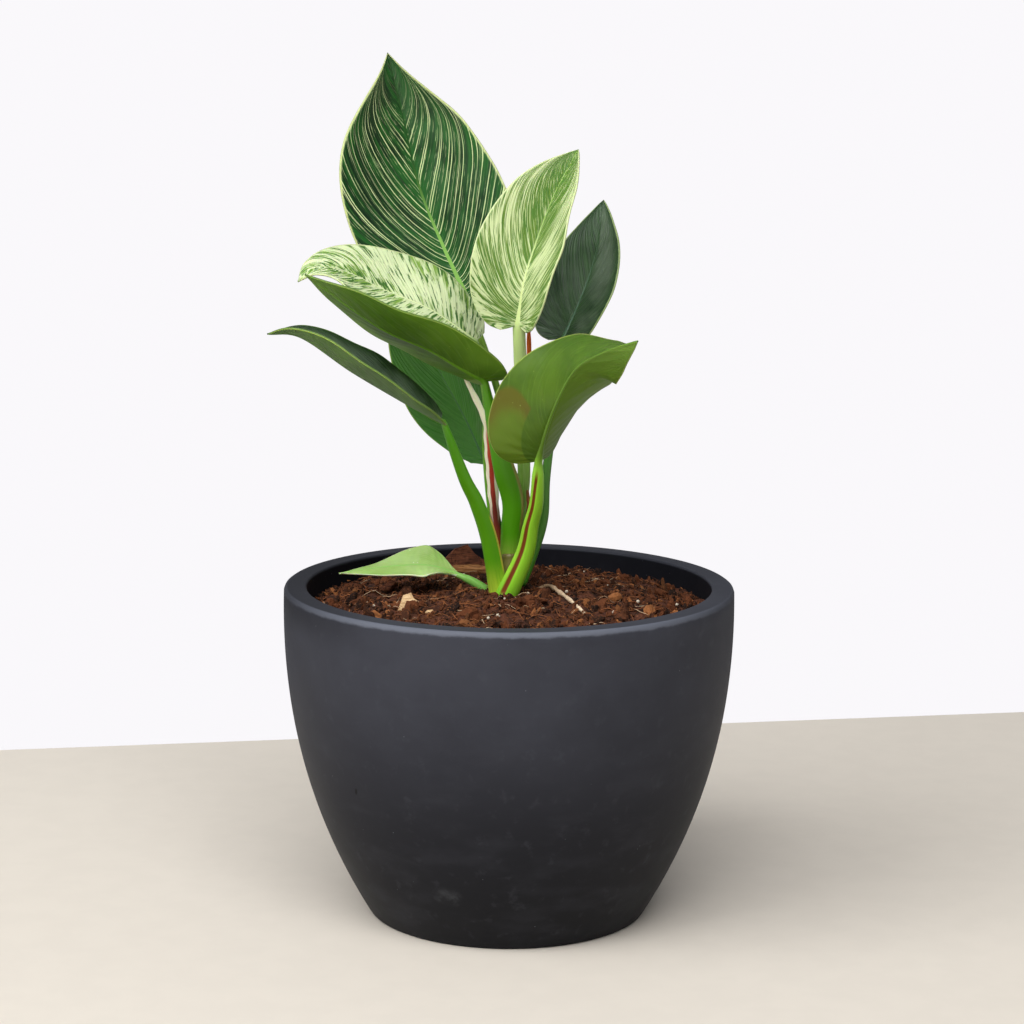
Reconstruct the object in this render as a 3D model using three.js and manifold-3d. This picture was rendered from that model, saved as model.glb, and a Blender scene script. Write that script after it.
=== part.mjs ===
// Philodendron birkin in a tapered round pot.
// Millimetres, +Z up, origin at the middle of the pot's foot. The plant's front faces -Y.
import * as THREE from 'three';
import { mergeVertices } from 'three/addons/utils/BufferGeometryUtils.js';
import Module from 'manifold-3d';

const wasm = await Module();
wasm.setup();

// ---- driving dimensions -------------------------------------------------------------------

const GAP = 0.3;                 // clearance between pieces that touch
const SOIL_GAP = 0.5;            // clearance between the soil and the pot

const RIM_RADIUS = 90;           // outer radius of the pot at its rim
const POT_HEIGHT = 133.5;
const FOOT_RADIUS = 56;          // where the curved wall would meet the ground
const BELLY_LOW = 83;            // the two middle control radii of the wall's curve
const BELLY_HIGH = 91.5;
const FOOT_ROUND = 1.6;          // rounding of the foot's edge
const RIM_EDGE = [1.0, 1.6];     // bevel of the rim's outer edge: across, down
const RIM_LIP = 0.8;             // rounding of the rim's inner edge
const WALL = 9;                  // the wall and the flat top of the rim
const FLOOR = 9;
const POT_SIDES = 56;
const WALL_STEPS = 8;            // of the outer face; the inner one has fewer
const INNER_STEPS = 5;
const INSET_SAMPLES = 200;       // points along the wall from which its inner side is found

const SOIL_EDGE = 124;           // height of the soil where it meets the pot
const SOIL_RISE = 7;             // how much higher it is round the crown
const SOIL_SHOULDER = 2;         // how far below its edge the soil's side starts to lean in
const SOIL_RINGS = 7;
// The lumps: height in mm, radians per mm along X and Y, and where the wave starts.
const SOIL_WAVES = [
  [0.275, 0.21, 0.27, 0.9], [0.275, 0.21, -0.27, 1.7], [0.33, 0.43, -0.36, 0],
  [0.22, 0.61, 0.72, 1.57],
];

const STEM_FOOT = 96;            // the stem's lower end, down in the soil
const STEM_TOP = 147;
const STEM_RADIUS = 4.6;
const STEM_TIP = 2.76;           // radius at its blunt ends
const STEM_TAPER = [6, 8];       // length of the taper at the lower and the upper end
const STEM_SIDES = 16;

const BLADE_MIDDLE = 1.1;        // blade thickness at the midrib
const BLADE_MARGIN = 0.7;        // blade thickness at the margin
const BLADE_TIP = 0.6;           // blade thickness at the tip
const BLADE_ROWS = 14;           // steps from the base of a blade to its tip
const BLADE_COLUMNS = 4;         // steps from the midrib to the margin
const STALK_SIDES = 8;
const STALK_STEPS = 8;
const CHIP_BEVEL = 0.25;         // of a chip's thickness

// Half of a blade laid flat, from the notch at the stalk round the lobe to the tip: across in
// half-widths, along in blade lengths, and how far a full lobe pulls the point back.
const HALF_OUTLINE = [
  [0, 0, 0], [0.30, 0, 0.075], [0.62, 0.03, 0.11], [0.88, 0.12, 0.09], [1.0, 0.26, 0.04],
  [0.95, 0.42, 0], [0.76, 0.62, 0], [0.47, 0.80, 0], [0.17, 0.94, 0], [0, 1, 0],
];
const DRIP_LENGTH = 0.3;         // the part of a blade that its drip tip makes narrower
const VEIN_START = 2.4;          // how veins crowd towards the base of the midrib
const VEIN_SWEEP = 1.25;         // how veins turn towards the tip on their way out

// ---- the leaves, from the top of the plant down ---------------------------------------------
// rib: the midrib from the stalk to the tip.
// face: where the upper side looks, at the base and at the tip.
// fold: degrees that the left and right halves rise from flat, at the base and at the tip.
// curl: how many degrees more they bend on the way to the margin.
// broad: below 1 puts the widest place nearer the tip.
// lobe: 1 for full lobes that reach back past the stalk, below 0 for a base that tapers.
// skew: how far the left half sits nearer the tip than the right one, in blade lengths.
// drip: how much the drip tip narrows the end of the blade, 0 for none and 1 for all.
// dripLength: the part of the blade that the drip tip takes up, where it isn't DRIP_LENGTH.
// veinStart: how the veins crowd towards the base of the midrib, where it isn't VEIN_START.
// stalk: from the crown up to the blade.
// reach: the half-width and half-depth of the stalk's section at its foot, middle and top.

const LEAVES = [
  {
    name: 'leaf_1', colour: '#1f4a2a', stalkColour: '#5f9a33',
    rib: [[-17, 42, 242], [-29.5, 48, 268], [-38.5, 52, 290], [-45, 54, 317], [-51, 48, 343]],
    face: [[0.12, -1, 0.1], [0.12, -1, 0.1]], halfWidth: 35,
    fold: [[15, 24], [15, 24]], curl: [6, 6], broad: 0.74, lobe: 1, skew: 0.038,
    drip: 0.6,
    stalk: [
      [-0.5, 9, 134], [-1, 13, 146], [-1, 17, 165], [-1.5, 21, 185], [-3.5, 27, 201],
      [-9, 33, 219], [-15, 38, 235], [-17, 42, 240],
    ],
    reach: [[2.0, 1.8], [1.5, 1.5], [1.4, 1.4]],
  },
  {
    name: 'leaf_2', colour: '#c9d8a4', stalkColour: '#c4d98b',
    rib: [[3, -4, 238], [5, -2, 254], [9.5, 2, 269], [16.5, 6, 288], [26, 12, 306]],
    face: [[-0.55, -1, 0.1], [-0.55, -1, 0.1]], halfWidth: 23,
    fold: [[30, 33], [30, 33]], curl: [6, 6], broad: 0.8, lobe: 0.5, skew: 0,
    drip: 0.15,
    stalk: [[1, 6, 138], [3.5, 5, 159], [5.5, 4, 175], [5, 3, 191], [4, 0, 216], [3, -4, 238]],
    reach: [[2.4, 2.0], [2.6, 2.0], [2.6, 1.8]],
  },
  {
    name: 'leaf_3', colour: '#bccf95', stalkColour: '#6fae2c',
    rib: [
      [-14, 7, 230], [-32, 2, 243], [-50, -2, 251], [-66, -6, 259], [-77, -10, 260],
      [-83, -12, 255],
    ],
    face: [[0.2, -0.45, 0.85], [-0.2, -0.45, 0.85]], halfWidth: 26.5,
    fold: [[6, 6], [6, 6]], curl: [4, 4], broad: 0.82, lobe: 0.4, skew: 0,
    drip: 0.5,
    stalk: [[-3, 9, 136], [-7.5, 13, 161], [-10, 13, 186], [-10, 10, 206], [-14, 7, 230]],
    reach: [[1.8, 1.5], [1.3, 1.2], [1.2, 1.2]],
  },
  {
    name: 'leaf_4', colour: '#1e3d33', stalkColour: '#3f6a33',
    rib: [[21, 14, 231], [27, 20, 244], [32, 26, 257], [35, 30, 269], [37, 36, 285]],
    face: [[-0.5, -1, 0.1], [-0.5, -1, 0.1]], halfWidth: 18,
    fold: [[25, 25], [25, 25]], curl: [5, 5], broad: 0.85, lobe: 0.7, skew: 0,
    drip: 0.2,
    stalk: [
      [4.5, 5, 132], [9, 8, 143], [13.5, 10, 158], [14.5, 11, 176], [18, 13, 206], [21, 14, 231],
    ],
    reach: [[2.2, 2.0], [1.8, 1.6], [1.5, 1.5]],
  },
  {
    name: 'leaf_5', colour: '#2f6420', stalkColour: '#4c9a1e',
    rib: [[-10, -12, 217], [-19, -16, 222], [-32, -20, 230], [-51, -24, 239], [-79, -26, 259]],
    face: [[0.3, 0.45, 0.85], [0.3, 0.45, 0.85]], halfWidth: 22,
    fold: [[8, 8], [8, 8]], curl: [4, 4], broad: 0.85, lobe: 0.6, skew: 0,
    drip: 0.3,
    stalk: [
      [-0.5, 1, 138], [0.5, -1, 156], [1, -3, 168], [-3, -6, 183], [-7, -9, 201],
      [-10, -12, 216],
    ],
    reach: [[3.6, 2.4], [4.4, 2.2], [1.7, 1.6]],
  },
  {
    name: 'leaf_6', colour: '#3d5f35', stalkColour: '#4f9f22',
    rib: [[-27, -22, 202], [-42, -28, 211], [-61, -34, 223], [-80, -36, 236], [-93, -34, 237]],
    face: [[0.3, -0.05, 0.9], [0.3, 0, 0.9]], halfWidth: 18,
    fold: [[6, 24], [34, 30]], curl: [8, 8], broad: 0.8, lobe: 0.1, skew: 0,
    drip: 0.4, veinStart: 1.9,
    stalk: [[-4, -3.5, 129], [-8, -6, 152], [-13, -10, 168], [-18, -14, 179], [-26, -22, 202]],
    reach: [[3.8, 3.4], [3.0, 2.6], [1.5, 1.4]],
  },
  {
    name: 'leaf_7', colour: '#234a30', stalkColour: '#4a8a2a',
    rib: [[-9.5, 24, 178], [-18, 28, 196], [-29, 29, 216], [-39, 27, 236], [-47.5, 23, 254]],
    face: [[-0.42, -1, 0], [-0.42, -1, 0]], halfWidth: 19,
    fold: [[25, 25], [20, 20]], curl: [5, 5], broad: 0.75, lobe: -0.5, skew: 0,
    drip: 0.3, veinStart: 1.8,
    stalk: [[-2, 11, 136], [-5, 17, 156], [-8, 21, 168], [-9, 24, 178]],
    reach: [[2.0, 1.7], [1.5, 1.4], [1.4, 1.4]],
  },
  {
    name: 'leaf_8', colour: '#4c7a2c', stalkColour: '#62ab2b',
    rib: [
      [11, -22, 187], [14, -32, 201], [19, -43, 216], [25, -51, 227], [35, -58, 234],
      [47, -66, 239],
    ],
    face: [[-0.42, 0.8, 0.5], [-0.2, 1, 0.1]], halfWidth: 25,
    fold: [[31, 27], [-15, 128]], curl: [20, 10], broad: 0.95, lobe: 0.55, skew: 0,
    drip: 0,
    stalk: [[-2, -7.5, 128], [6, -9, 147], [8.5, -12, 160], [10.5, -16, 170], [11, -22, 186]],
    reach: [[4.4, 3.4], [3.2, 2.6], [2.2, 2.0]],
  },
  {
    name: 'leaf_9', colour: '#6fb54a', stalkColour: '#6fb54a',
    rib: [[-19, 2, 136], [-32, 2, 140], [-48, 0, 140], [-68, -4, 138]],
    face: [[0, -0.24, 0.97], [0, -0.24, 0.97]], halfWidth: 12,
    fold: [[14, 30], [-18, -18]], curl: [6, 6], broad: 1.05, lobe: -1.6, skew: 0,
    drip: 0.75, dripLength: 0.8, veinStart: 1.4,
    stalk: [[-5, 1, 128], [-13, 2, 133], [-19, 2, 136]],
    reach: [[2.0, 1.6], [1.8, 1.5], [1.6, 1.3]],
  },
];

// Dry sheaths that once wrapped young leaves. Their fields are those of a stalk.
const SHEATHS = [
  {
    name: 'sheath_red', colour: '#9c2f1c',
    stalk: [[-4, 2, 144], [-6.5, 4.5, 167], [-8.5, 5.5, 191], [-10.5, 6, 200], [-19, 9, 217]],
    reach: [[1.4, 0.5], [2.4, 0.5], [0.6, 0.4]],
  },
  {
    name: 'sheath_orange', colour: '#8a6a2a',
    stalk: [[5, 6.5, 146], [6.5, 9, 175], [7.5, 8.5, 207], [7, 6, 235]],
    reach: [[1.6, 0.5], [1.4, 0.5], [0.8, 0.5]],
  },
  {
    name: 'sheath_brown', colour: '#7a3a1a',
    stalk: [[4.5, 1, 146], [7.5, -2, 162], [7, -1, 172]],
    reach: [[1.4, 0.5], [1.3, 0.5], [0.5, 0.4]],
  },
];

// Loose pieces lying on the soil: a flat outline, its thickness, where it lies and how it turns.
const CHIPS = [
  {
    name: 'bark_chip', colour: '#6b3a22', thickness: 5, at: [-18, 50, 133.5], turn: [68, 6, -10],
    outline: [[-10, -5], [-3, -6.5], [9, -5], [10, 0], [3, 3], [-1, 6.5], [-6, 3.5], [-9, -1]],
  },
  {
    name: 'bark_strip', colour: '#a8743c', thickness: 2.6, at: [-14, 38, 131.5], turn: [12, 4, 4],
    outline: [[-12, -1.5], [-5, -2.6], [6, -2.4], [11, -1], [9, 1.8], [0, 2.6], [-9, 1.6]],
  },
  {
    name: 'wood_chip', colour: '#c9a877', thickness: 1.4, at: [-39, -22, 129.5], turn: [52, 8, -14],
    outline: [[-3.8, -4.4], [0.6, -3.6], [4.2, -2.8], [3.6, 2], [0.8, 3.1], [-0.8, 5], [-3.6, 3.1]],
  },
  {
    name: 'small_chip', colour: '#b98d5c', thickness: 1.2, at: [-31, -31, 128], turn: [30, -10, 30],
    outline: [[-1.8, -1], [1.6, -1.3], [2, 0.4], [0.2, 1.5], [-1.6, 1]],
  },
  {
    name: 'dark_chip', colour: '#5a3420', thickness: 2, at: [-49.5, 9, 129.5], turn: [34, -18, 28],
    outline: [[-4.6, -1.8], [1, -2.4], [4.8, -0.8], [3.4, 1.6], [-2, 2.2], [-4.4, 1]],
  },
];

const ROOT = {
  name: 'root', colour: '#b99c78',
  stalk: [[11, 7, 129.5], [16, 5, 131.8], [20, -9, 132.2], [24.5, -22, 131.3], [29.5, -32, 128.6]],
  reach: [[0.8, 0.8], [0.9, 0.8], [0.6, 0.5]],
};

// ---- helpers ------------------------------------------------------------------------------

const vector = ([x, y, z]) => new THREE.Vector3(x, y, z);
const route = (points) => new THREE.CatmullRomCurve3(points.map(vector), false, 'catmullrom', 0.5);
const mix = (a, b, t) => a + (b - a) * t;
const WELD = 1e-4;               // points closer than this are one point

// A closed surface from a list of [x, y, z] points and a list of triangles.
function solidGeometry(points, triangles) {
  const geometry = new THREE.BufferGeometry();
  geometry.setAttribute('position', new THREE.Float32BufferAttribute(points.flat(), 3));
  geometry.setIndex(triangles.flat());
  return geometry;
}

function toManifold(geometry) {
  const bare = geometry.clone();
  bare.deleteAttribute('normal');
  bare.deleteAttribute('uv');
  const merged = mergeVertices(bare, WELD);
  return new wasm.Manifold(new wasm.Mesh({
    numProp: 3,
    vertProperties: new Float32Array(merged.attributes.position.array),
    triVerts: new Uint32Array(merged.index.array),
  }));
}

function fromManifold(solid) {
  const mesh = solid.getMesh();
  const geometry = new THREE.BufferGeometry();
  geometry.setAttribute('position', new THREE.BufferAttribute(mesh.vertProperties, 3));
  geometry.setIndex(new THREE.BufferAttribute(mesh.triVerts, 1));
  return geometry;
}

// The largest piece that is left of a solid after cuts.
function largest(solid) {
  const pieces = solid.decompose();
  return pieces.reduce((best, piece) => (piece.volume() > best.volume() ? piece : best));
}

// A closed tube along a curve, with an oval section whose half-width (level, across the
// curve) and half-depth change from the foot over the middle to the top.
function stalkGeometry(curve, reach, extra = 0, steps = STALK_STEPS) {
  const points = [];
  const triangles = [];
  for (let j = 0; j <= steps; j += 1) {
    const t = j / steps;
    const at = curve.getPointAt(t);
    const along = curve.getTangentAt(t);
    const across = new THREE.Vector3(0, 1, 0).cross(along).normalize();
    const deep = along.clone().cross(across).normalize();
    const [from, to, part] = t < 0.5 ? [reach[0], reach[1], t * 2] : [reach[1], reach[2], t * 2 - 1];
    const half = mix(from[0], to[0], part) + extra;
    const depth = mix(from[1], to[1], part) + extra;
    const shift = j === 0 ? -extra : (j === steps ? extra : 0);
    for (let i = 0; i < STALK_SIDES; i += 1) {
      const angle = (i / STALK_SIDES) * Math.PI * 2;
      const point = at.clone()
        .addScaledVector(across, half * Math.cos(angle))
        .addScaledVector(deep, depth * Math.sin(angle))
        .addScaledVector(along, shift);
      points.push(point.toArray());
    }
  }
  const ring = (j, i) => j * STALK_SIDES + (i % STALK_SIDES);
  for (let j = 0; j < steps; j += 1) {
    for (let i = 0; i < STALK_SIDES; i += 1) {
      triangles.push([ring(j, i), ring(j, i + 1), ring(j + 1, i + 1)]);
      triangles.push([ring(j, i), ring(j + 1, i + 1), ring(j + 1, i)]);
    }
  }
  for (let i = 1; i < STALK_SIDES - 1; i += 1) {
    triangles.push([ring(0, 0), ring(0, i + 1), ring(0, i)]);
    triangles.push([ring(steps, 0), ring(steps, i), ring(steps, i + 1)]);
  }
  return solidGeometry(points, triangles);
}

// ---- a blade ------------------------------------------------------------------------------

const outlineCurve = new THREE.CatmullRomCurve3(
  HALF_OUTLINE.map(vector), false, 'catmullrom', 0.5,
);

// Places flat leaf coordinates on the bent and folded leaf, made larger all round by extra.
function bladePlacer(leaf, extra) {
  const curve = route(leaf.rib);
  const length = curve.getLength();
  const [faceBase, faceTip] = leaf.face.map(vector);
  const stretch = 1 + (2 * extra) / length;
  return (side, across, flatAlong) => {
    const along = 0.5 + (flatAlong - 0.5) * stretch - leaf.skew * side * across;
    const t = THREE.MathUtils.clamp(along, 0, 1);
    const tangent = curve.getTangentAt(t);
    const middle = curve.getPointAt(t).addScaledVector(tangent, (along - t) * length);
    const face = faceBase.clone().lerp(faceTip, t);
    const right = tangent.clone().cross(face).normalize();
    const normal = right.clone().cross(tangent).normalize();
    const distance = across * (leaf.halfWidth + extra);
    const half = side < 0 ? 0 : 1;
    const start = THREE.MathUtils.degToRad(mix(leaf.fold[0][half], leaf.fold[1][half], t));
    const bend = THREE.MathUtils.degToRad(leaf.curl[half]) / leaf.halfWidth;
    const end = start + bend * distance;
    const out = (Math.sin(end) - Math.sin(start)) / bend;
    const rise = (Math.cos(start) - Math.cos(end)) / bend;
    return middle.addScaledVector(right, side * out).addScaledVector(normal, rise);
  };
}

// A blade is a grid: a row follows a pair of veins from margin to margin, and the columns run
// from the base to the tip. Both faces have the same triangles.
function bladeGeometry(leaf, extra = 0) {
  const place = bladePlacer(leaf, extra);
  const width = 2 * BLADE_COLUMNS + 1;
  const middleLine = [];
  const spread = [];
  for (let j = 0; j <= BLADE_ROWS; j += 1) {
    const t = j / BLADE_ROWS;
    const edge = outlineCurve.getPoint(t);
    const end = Math.max(edge.y, 0) ** leaf.broad - leaf.lobe * edge.z;
    const start = t ** (leaf.veinStart ?? VEIN_START);
    const slim = 1 - leaf.drip * Math.max(0, 1 - (1 - end) / (leaf.dripLength ?? DRIP_LENGTH)) ** 2;
    for (let i = -BLADE_COLUMNS; i <= BLADE_COLUMNS; i += 1) {
      const r = Math.abs(i) / BLADE_COLUMNS;
      const along = mix(start, end, r ** VEIN_SWEEP);
      const thickness = mix(mix(BLADE_MIDDLE, BLADE_MARGIN, r), BLADE_TIP, t ** 2);
      middleLine.push(place(Math.sign(i) || 1, edge.x * slim * r, along));
      spread.push(thickness / 2 + extra);
    }
  }
  const index = (j, i) => {
    if (j === 0) return BLADE_COLUMNS;
    if (j === BLADE_ROWS) return BLADE_ROWS * width + BLADE_COLUMNS;
    return j * width + i;
  };
  const faces = [];
  for (let j = 0; j < BLADE_ROWS; j += 1) {
    for (let i = 0; i < width - 1; i += 1) {
      const [a, b, c, d] = [index(j, i), index(j, i + 1), index(j + 1, i + 1), index(j + 1, i)];
      const quad = i < BLADE_COLUMNS ? [[a, b, c], [a, c, d]] : [[a, b, d], [b, c, d]];
      faces.push(...quad.filter(([p, q, s]) => p !== q && q !== s && s !== p));
    }
  }
  const normals = middleLine.map(() => new THREE.Vector3());
  for (const [a, b, c] of faces) {
    const normal = middleLine[b].clone().sub(middleLine[a])
      .cross(middleLine[c].clone().sub(middleLine[a]));
    for (const corner of [a, b, c]) normals[corner].add(normal);
  }
  const count = middleLine.length;
  const upper = middleLine.map((p, k) => p.clone().addScaledVector(normals[k].normalize(), spread[k]));
  const lower = middleLine.map((p, k) => p.clone().addScaledVector(normals[k], -spread[k]));
  const triangles = [...faces, ...faces.map(([a, b, c]) => [a + count, c + count, b + count])];
  const rim = [];
  for (let j = 0; j <= BLADE_ROWS; j += 1) rim.push(index(j, 2 * BLADE_COLUMNS));
  for (let j = BLADE_ROWS - 1; j > 0; j -= 1) rim.push(index(j, 0));
  for (let k = 0; k < rim.length; k += 1) {
    const [a, b] = [rim[k], rim[(k + 1) % rim.length]];
    triangles.push([a, a + count, b + count], [a, b + count, b]);
  }
  return solidGeometry([...upper, ...lower].map((p) => p.toArray()), triangles);
}

// ---- the pot and the soil -----------------------------------------------------------------

// The outer wall's radius and height at t, 0 at the foot and 1 at the rim.
function wallPoint(t) {
  const u = 1 - t;
  const radius = FOOT_RADIUS * u ** 3 + 3 * BELLY_LOW * t * u ** 2
    + 3 * BELLY_HIGH * t ** 2 * u + RIM_RADIUS * t ** 3;
  return new THREE.Vector2(radius, POT_HEIGHT * t);
}

// The same wall moved inwards by a distance, square to its surface.
function insetPoint(t, distance) {
  const step = 1e-3;
  const along = wallPoint(t + step).sub(wallPoint(t - step)).normalize();
  return wallPoint(t).add(new THREE.Vector2(-along.y, along.x).multiplyScalar(distance));
}

// Points of the inset wall from height low to height high.
function insetWall(distance, low, high, steps) {
  const samples = Array.from(
    { length: INSET_SAMPLES + 1 }, (_, k) => insetPoint(k / INSET_SAMPLES, distance),
  );
  const radiusAt = (height) => {
    const k = samples.findIndex((point) => point.y >= height);
    if (k < 1) return samples[k < 0 ? samples.length - 1 : 0].x;
    const [a, b] = [samples[k - 1], samples[k]];
    return mix(a.x, b.x, (height - a.y) / (b.y - a.y));
  };
  return Array.from({ length: steps + 1 }, (_, k) => {
    const height = mix(low, high, k / steps);
    return new THREE.Vector2(radiusAt(height), height);
  });
}

function potGeometry() {
  const outer = [new THREE.Vector2(0, 0), new THREE.Vector2(FOOT_RADIUS - FOOT_ROUND / 2, 0)];
  const first = FOOT_ROUND / POT_HEIGHT;
  const last = 1 - RIM_EDGE[1] / POT_HEIGHT;
  for (let k = 0; k <= WALL_STEPS; k += 1) outer.push(wallPoint(mix(first, last, k / WALL_STEPS)));
  const rim = [
    new THREE.Vector2(RIM_RADIUS - RIM_EDGE[0], POT_HEIGHT),
    new THREE.Vector2(RIM_RADIUS - WALL + RIM_LIP, POT_HEIGHT),
    new THREE.Vector2(RIM_RADIUS - WALL, POT_HEIGHT - RIM_LIP),
  ];
  const inner = insetWall(WALL, FLOOR, POT_HEIGHT - 2 * RIM_LIP, INNER_STEPS).reverse();
  const profile = [...outer, ...rim, ...inner, new THREE.Vector2(0, FLOOR)];
  return new THREE.LatheGeometry(profile, POT_SIDES);
}

function soilHeight(x, y) {
  const rise = SOIL_RISE * (1 - (x * x + y * y) / (RIM_RADIUS - WALL) ** 2);
  const lumps = SOIL_WAVES.map(([height, a, b, start]) => height * Math.sin(a * x + b * y + start));
  return lumps.reduce((sum, lump) => sum + lump, SOIL_EDGE + rise);
}

function soilGeometry() {
  const shoulder = SOIL_EDGE - SOIL_SHOULDER;
  const wall = insetWall(WALL + SOIL_GAP, FLOOR + SOIL_GAP, shoulder, INNER_STEPS);
  const radius = insetWall(WALL + SOIL_GAP, shoulder, SOIL_EDGE, 1)[1].x;
  const points = [[0, 0, FLOOR + SOIL_GAP]];
  const triangles = [];
  const addRing = (ringRadius, heightAt) => {
    for (let i = 0; i < POT_SIDES; i += 1) {
      const angle = (i / POT_SIDES) * Math.PI * 2;
      const [x, y] = [ringRadius * Math.cos(angle), ringRadius * Math.sin(angle)];
      points.push([x, y, heightAt(x, y)]);
    }
  };
  for (const ring of wall) addRing(ring.x, () => ring.y);
  for (let k = SOIL_RINGS; k > 0; k -= 1) addRing((radius * k) / SOIL_RINGS, soilHeight);
  points.push([0, 0, soilHeight(0, 0)]);
  const rings = wall.length + SOIL_RINGS;
  const at = (ring, i) => 1 + ring * POT_SIDES + (i % POT_SIDES);
  for (let i = 0; i < POT_SIDES; i += 1) {
    triangles.push([0, at(0, i + 1), at(0, i)]);
    for (let ring = 0; ring < rings - 1; ring += 1) {
      triangles.push([at(ring, i), at(ring, i + 1), at(ring + 1, i + 1)]);
      triangles.push([at(ring, i), at(ring + 1, i + 1), at(ring + 1, i)]);
    }
    triangles.push([at(rings - 1, i), at(rings - 1, i + 1), points.length - 1]);
  }
  return solidGeometry(points, triangles);
}

function stemGeometry(extra = 0) {
  const [below, above] = STEM_TAPER;
  const profile = [
    [0, STEM_FOOT - extra], [STEM_TIP + extra, STEM_FOOT - extra],
    [STEM_RADIUS + extra, STEM_FOOT + below], [STEM_RADIUS + extra, STEM_TOP - above],
    [STEM_TIP + extra, STEM_TOP + extra], [0, STEM_TOP + extra],
  ].map(([radius, height]) => new THREE.Vector2(radius, height));
  const geometry = new THREE.LatheGeometry(profile, STEM_SIDES);
  geometry.rotateX(Math.PI / 2);
  return geometry;
}

// A chip is its outline, as thick as it says, with bevelled edges.
function chipGeometry(chip, extra = 0) {
  const bevel = chip.thickness * CHIP_BEVEL;
  const shape = new THREE.Shape(chip.outline.map(([x, y]) => new THREE.Vector2(x, y)));
  const geometry = new THREE.ExtrudeGeometry(shape, {
    depth: chip.thickness - 2 * bevel + 2 * extra, bevelThickness: bevel,
    bevelSize: extra > 0 ? extra : -bevel, bevelSegments: 1,
  });
  geometry.translate(0, 0, bevel - chip.thickness / 2 - extra);
  const [x, y, z] = chip.turn.map(THREE.MathUtils.degToRad);
  geometry.applyMatrix4(new THREE.Matrix4().makeRotationFromEuler(new THREE.Euler(x, y, z)));
  geometry.translate(...chip.at);
  return geometry;
}

// ---- putting it together ------------------------------------------------------------------

const group = new THREE.Group();

function addPiece(name, geometry, colour, roughness = 0.5) {
  const material = new THREE.MeshStandardMaterial({ color: colour, roughness, metalness: 0 });
  const mesh = new THREE.Mesh(geometry, material);
  mesh.name = name;
  group.add(mesh);
}

function stalkSolid(piece, extra = 0) {
  return toManifold(stalkGeometry(route(piece.stalk), piece.reach, extra));
}

// Stalks in the order in which they keep their full section where they meet at the crown.
const leafNamed = (number) => LEAVES.find((leaf) => leaf.name === `leaf_${number}`);
const STALK_ORDER = [8, 6, 5, 2, 1, 3, 4, 7, 9].map(leafNamed);

const bladesGrown = LEAVES.map((leaf) => toManifold(bladeGeometry(leaf, GAP)));
const taken = [];
for (const piece of [...STALK_ORDER, ...SHEATHS]) {
  let solid = stalkSolid(piece);
  for (const other of [...taken, ...bladesGrown]) solid = solid.subtract(other);
  taken.push(stalkSolid(piece, GAP));
  const isLeaf = piece.rib !== undefined;
  addPiece(isLeaf ? `${piece.name}_petiole` : piece.name, fromManifold(largest(solid)),
    isLeaf ? piece.stalkColour : piece.colour);
}
for (const leaf of LEAVES) {
  addPiece(`${leaf.name}_blade`, fromManifold(toManifold(bladeGeometry(leaf))), leaf.colour, 0.4);
}

let stem = toManifold(stemGeometry());
for (const other of taken) stem = stem.subtract(other);
addPiece('stem', fromManifold(largest(stem)), '#5d7a35');
taken.push(toManifold(stemGeometry(GAP)));

const root = taken.reduce((rest, other) => rest.subtract(other), stalkSolid(ROOT));
addPiece(ROOT.name, fromManifold(largest(root)), ROOT.colour, 0.9);
taken.push(stalkSolid(ROOT, GAP));

for (const chip of CHIPS) {
  addPiece(chip.name, fromManifold(toManifold(chipGeometry(chip))), chip.colour, 0.9);
  taken.push(toManifold(chipGeometry(chip, GAP)));
}

const soil = taken.reduce((rest, other) => rest.subtract(other), toManifold(soilGeometry()));
addPiece('soil', fromManifold(largest(soil)), '#4a2b1c', 1);

const pot = potGeometry();
pot.rotateX(Math.PI / 2);
addPiece('pot', pot, '#3c3d43', 0.6);

export default group;
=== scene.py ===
"""Philodendron birkin in a tapered pot: fine leaves, stalks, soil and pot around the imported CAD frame.

Lengths in the tables are millimetres in the part's own frame: +Z up, origin at the middle of the
pot's foot, the plant's front facing -Y. Meshes are written in metres.
"""
import math
import random

import bmesh
import bpy
import numpy as np
from mathutils import Euler, Matrix, Vector, noise

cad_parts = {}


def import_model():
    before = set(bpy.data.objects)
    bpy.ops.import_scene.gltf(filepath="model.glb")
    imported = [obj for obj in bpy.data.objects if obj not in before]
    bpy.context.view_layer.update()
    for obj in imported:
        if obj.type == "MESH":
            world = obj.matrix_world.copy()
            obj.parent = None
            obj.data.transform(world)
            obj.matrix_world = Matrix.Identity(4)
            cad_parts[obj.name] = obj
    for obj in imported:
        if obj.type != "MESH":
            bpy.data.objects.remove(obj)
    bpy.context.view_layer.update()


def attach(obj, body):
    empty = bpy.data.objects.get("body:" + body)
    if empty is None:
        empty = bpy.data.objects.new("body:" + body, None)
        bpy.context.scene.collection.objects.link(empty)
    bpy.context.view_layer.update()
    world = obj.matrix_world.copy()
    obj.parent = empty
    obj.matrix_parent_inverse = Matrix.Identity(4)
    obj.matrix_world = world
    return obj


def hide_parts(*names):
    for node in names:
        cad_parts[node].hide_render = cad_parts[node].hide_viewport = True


MM = 0.001
UP = np.array([0.0, 0.0, 1.0])
AWAY = np.array([0.0, 1.0, 0.0])

# ---- the plant's driving values, as in the part's source ----

BLADE_MIDDLE = 1.1
BLADE_MARGIN = 0.7
BLADE_TIP = 0.6
DRIP_LENGTH = 0.3  # of the blade, over which it narrows to a drip tip
VEIN_START = 2.4  # how late the columns of a blade leave its midrib
VEIN_SWEEP = 1.25  # how late they turn towards the tip
HALF_OUTLINE = [
    (0, 0, 0), (0.3, 0, 0.075), (0.62, 0.03, 0.11), (0.88, 0.12, 0.09), (1.0, 0.26, 0.04),
    (0.95, 0.42, 0), (0.76, 0.62, 0), (0.47, 0.8, 0), (0.17, 0.94, 0), (0, 1, 0),
]

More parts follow.
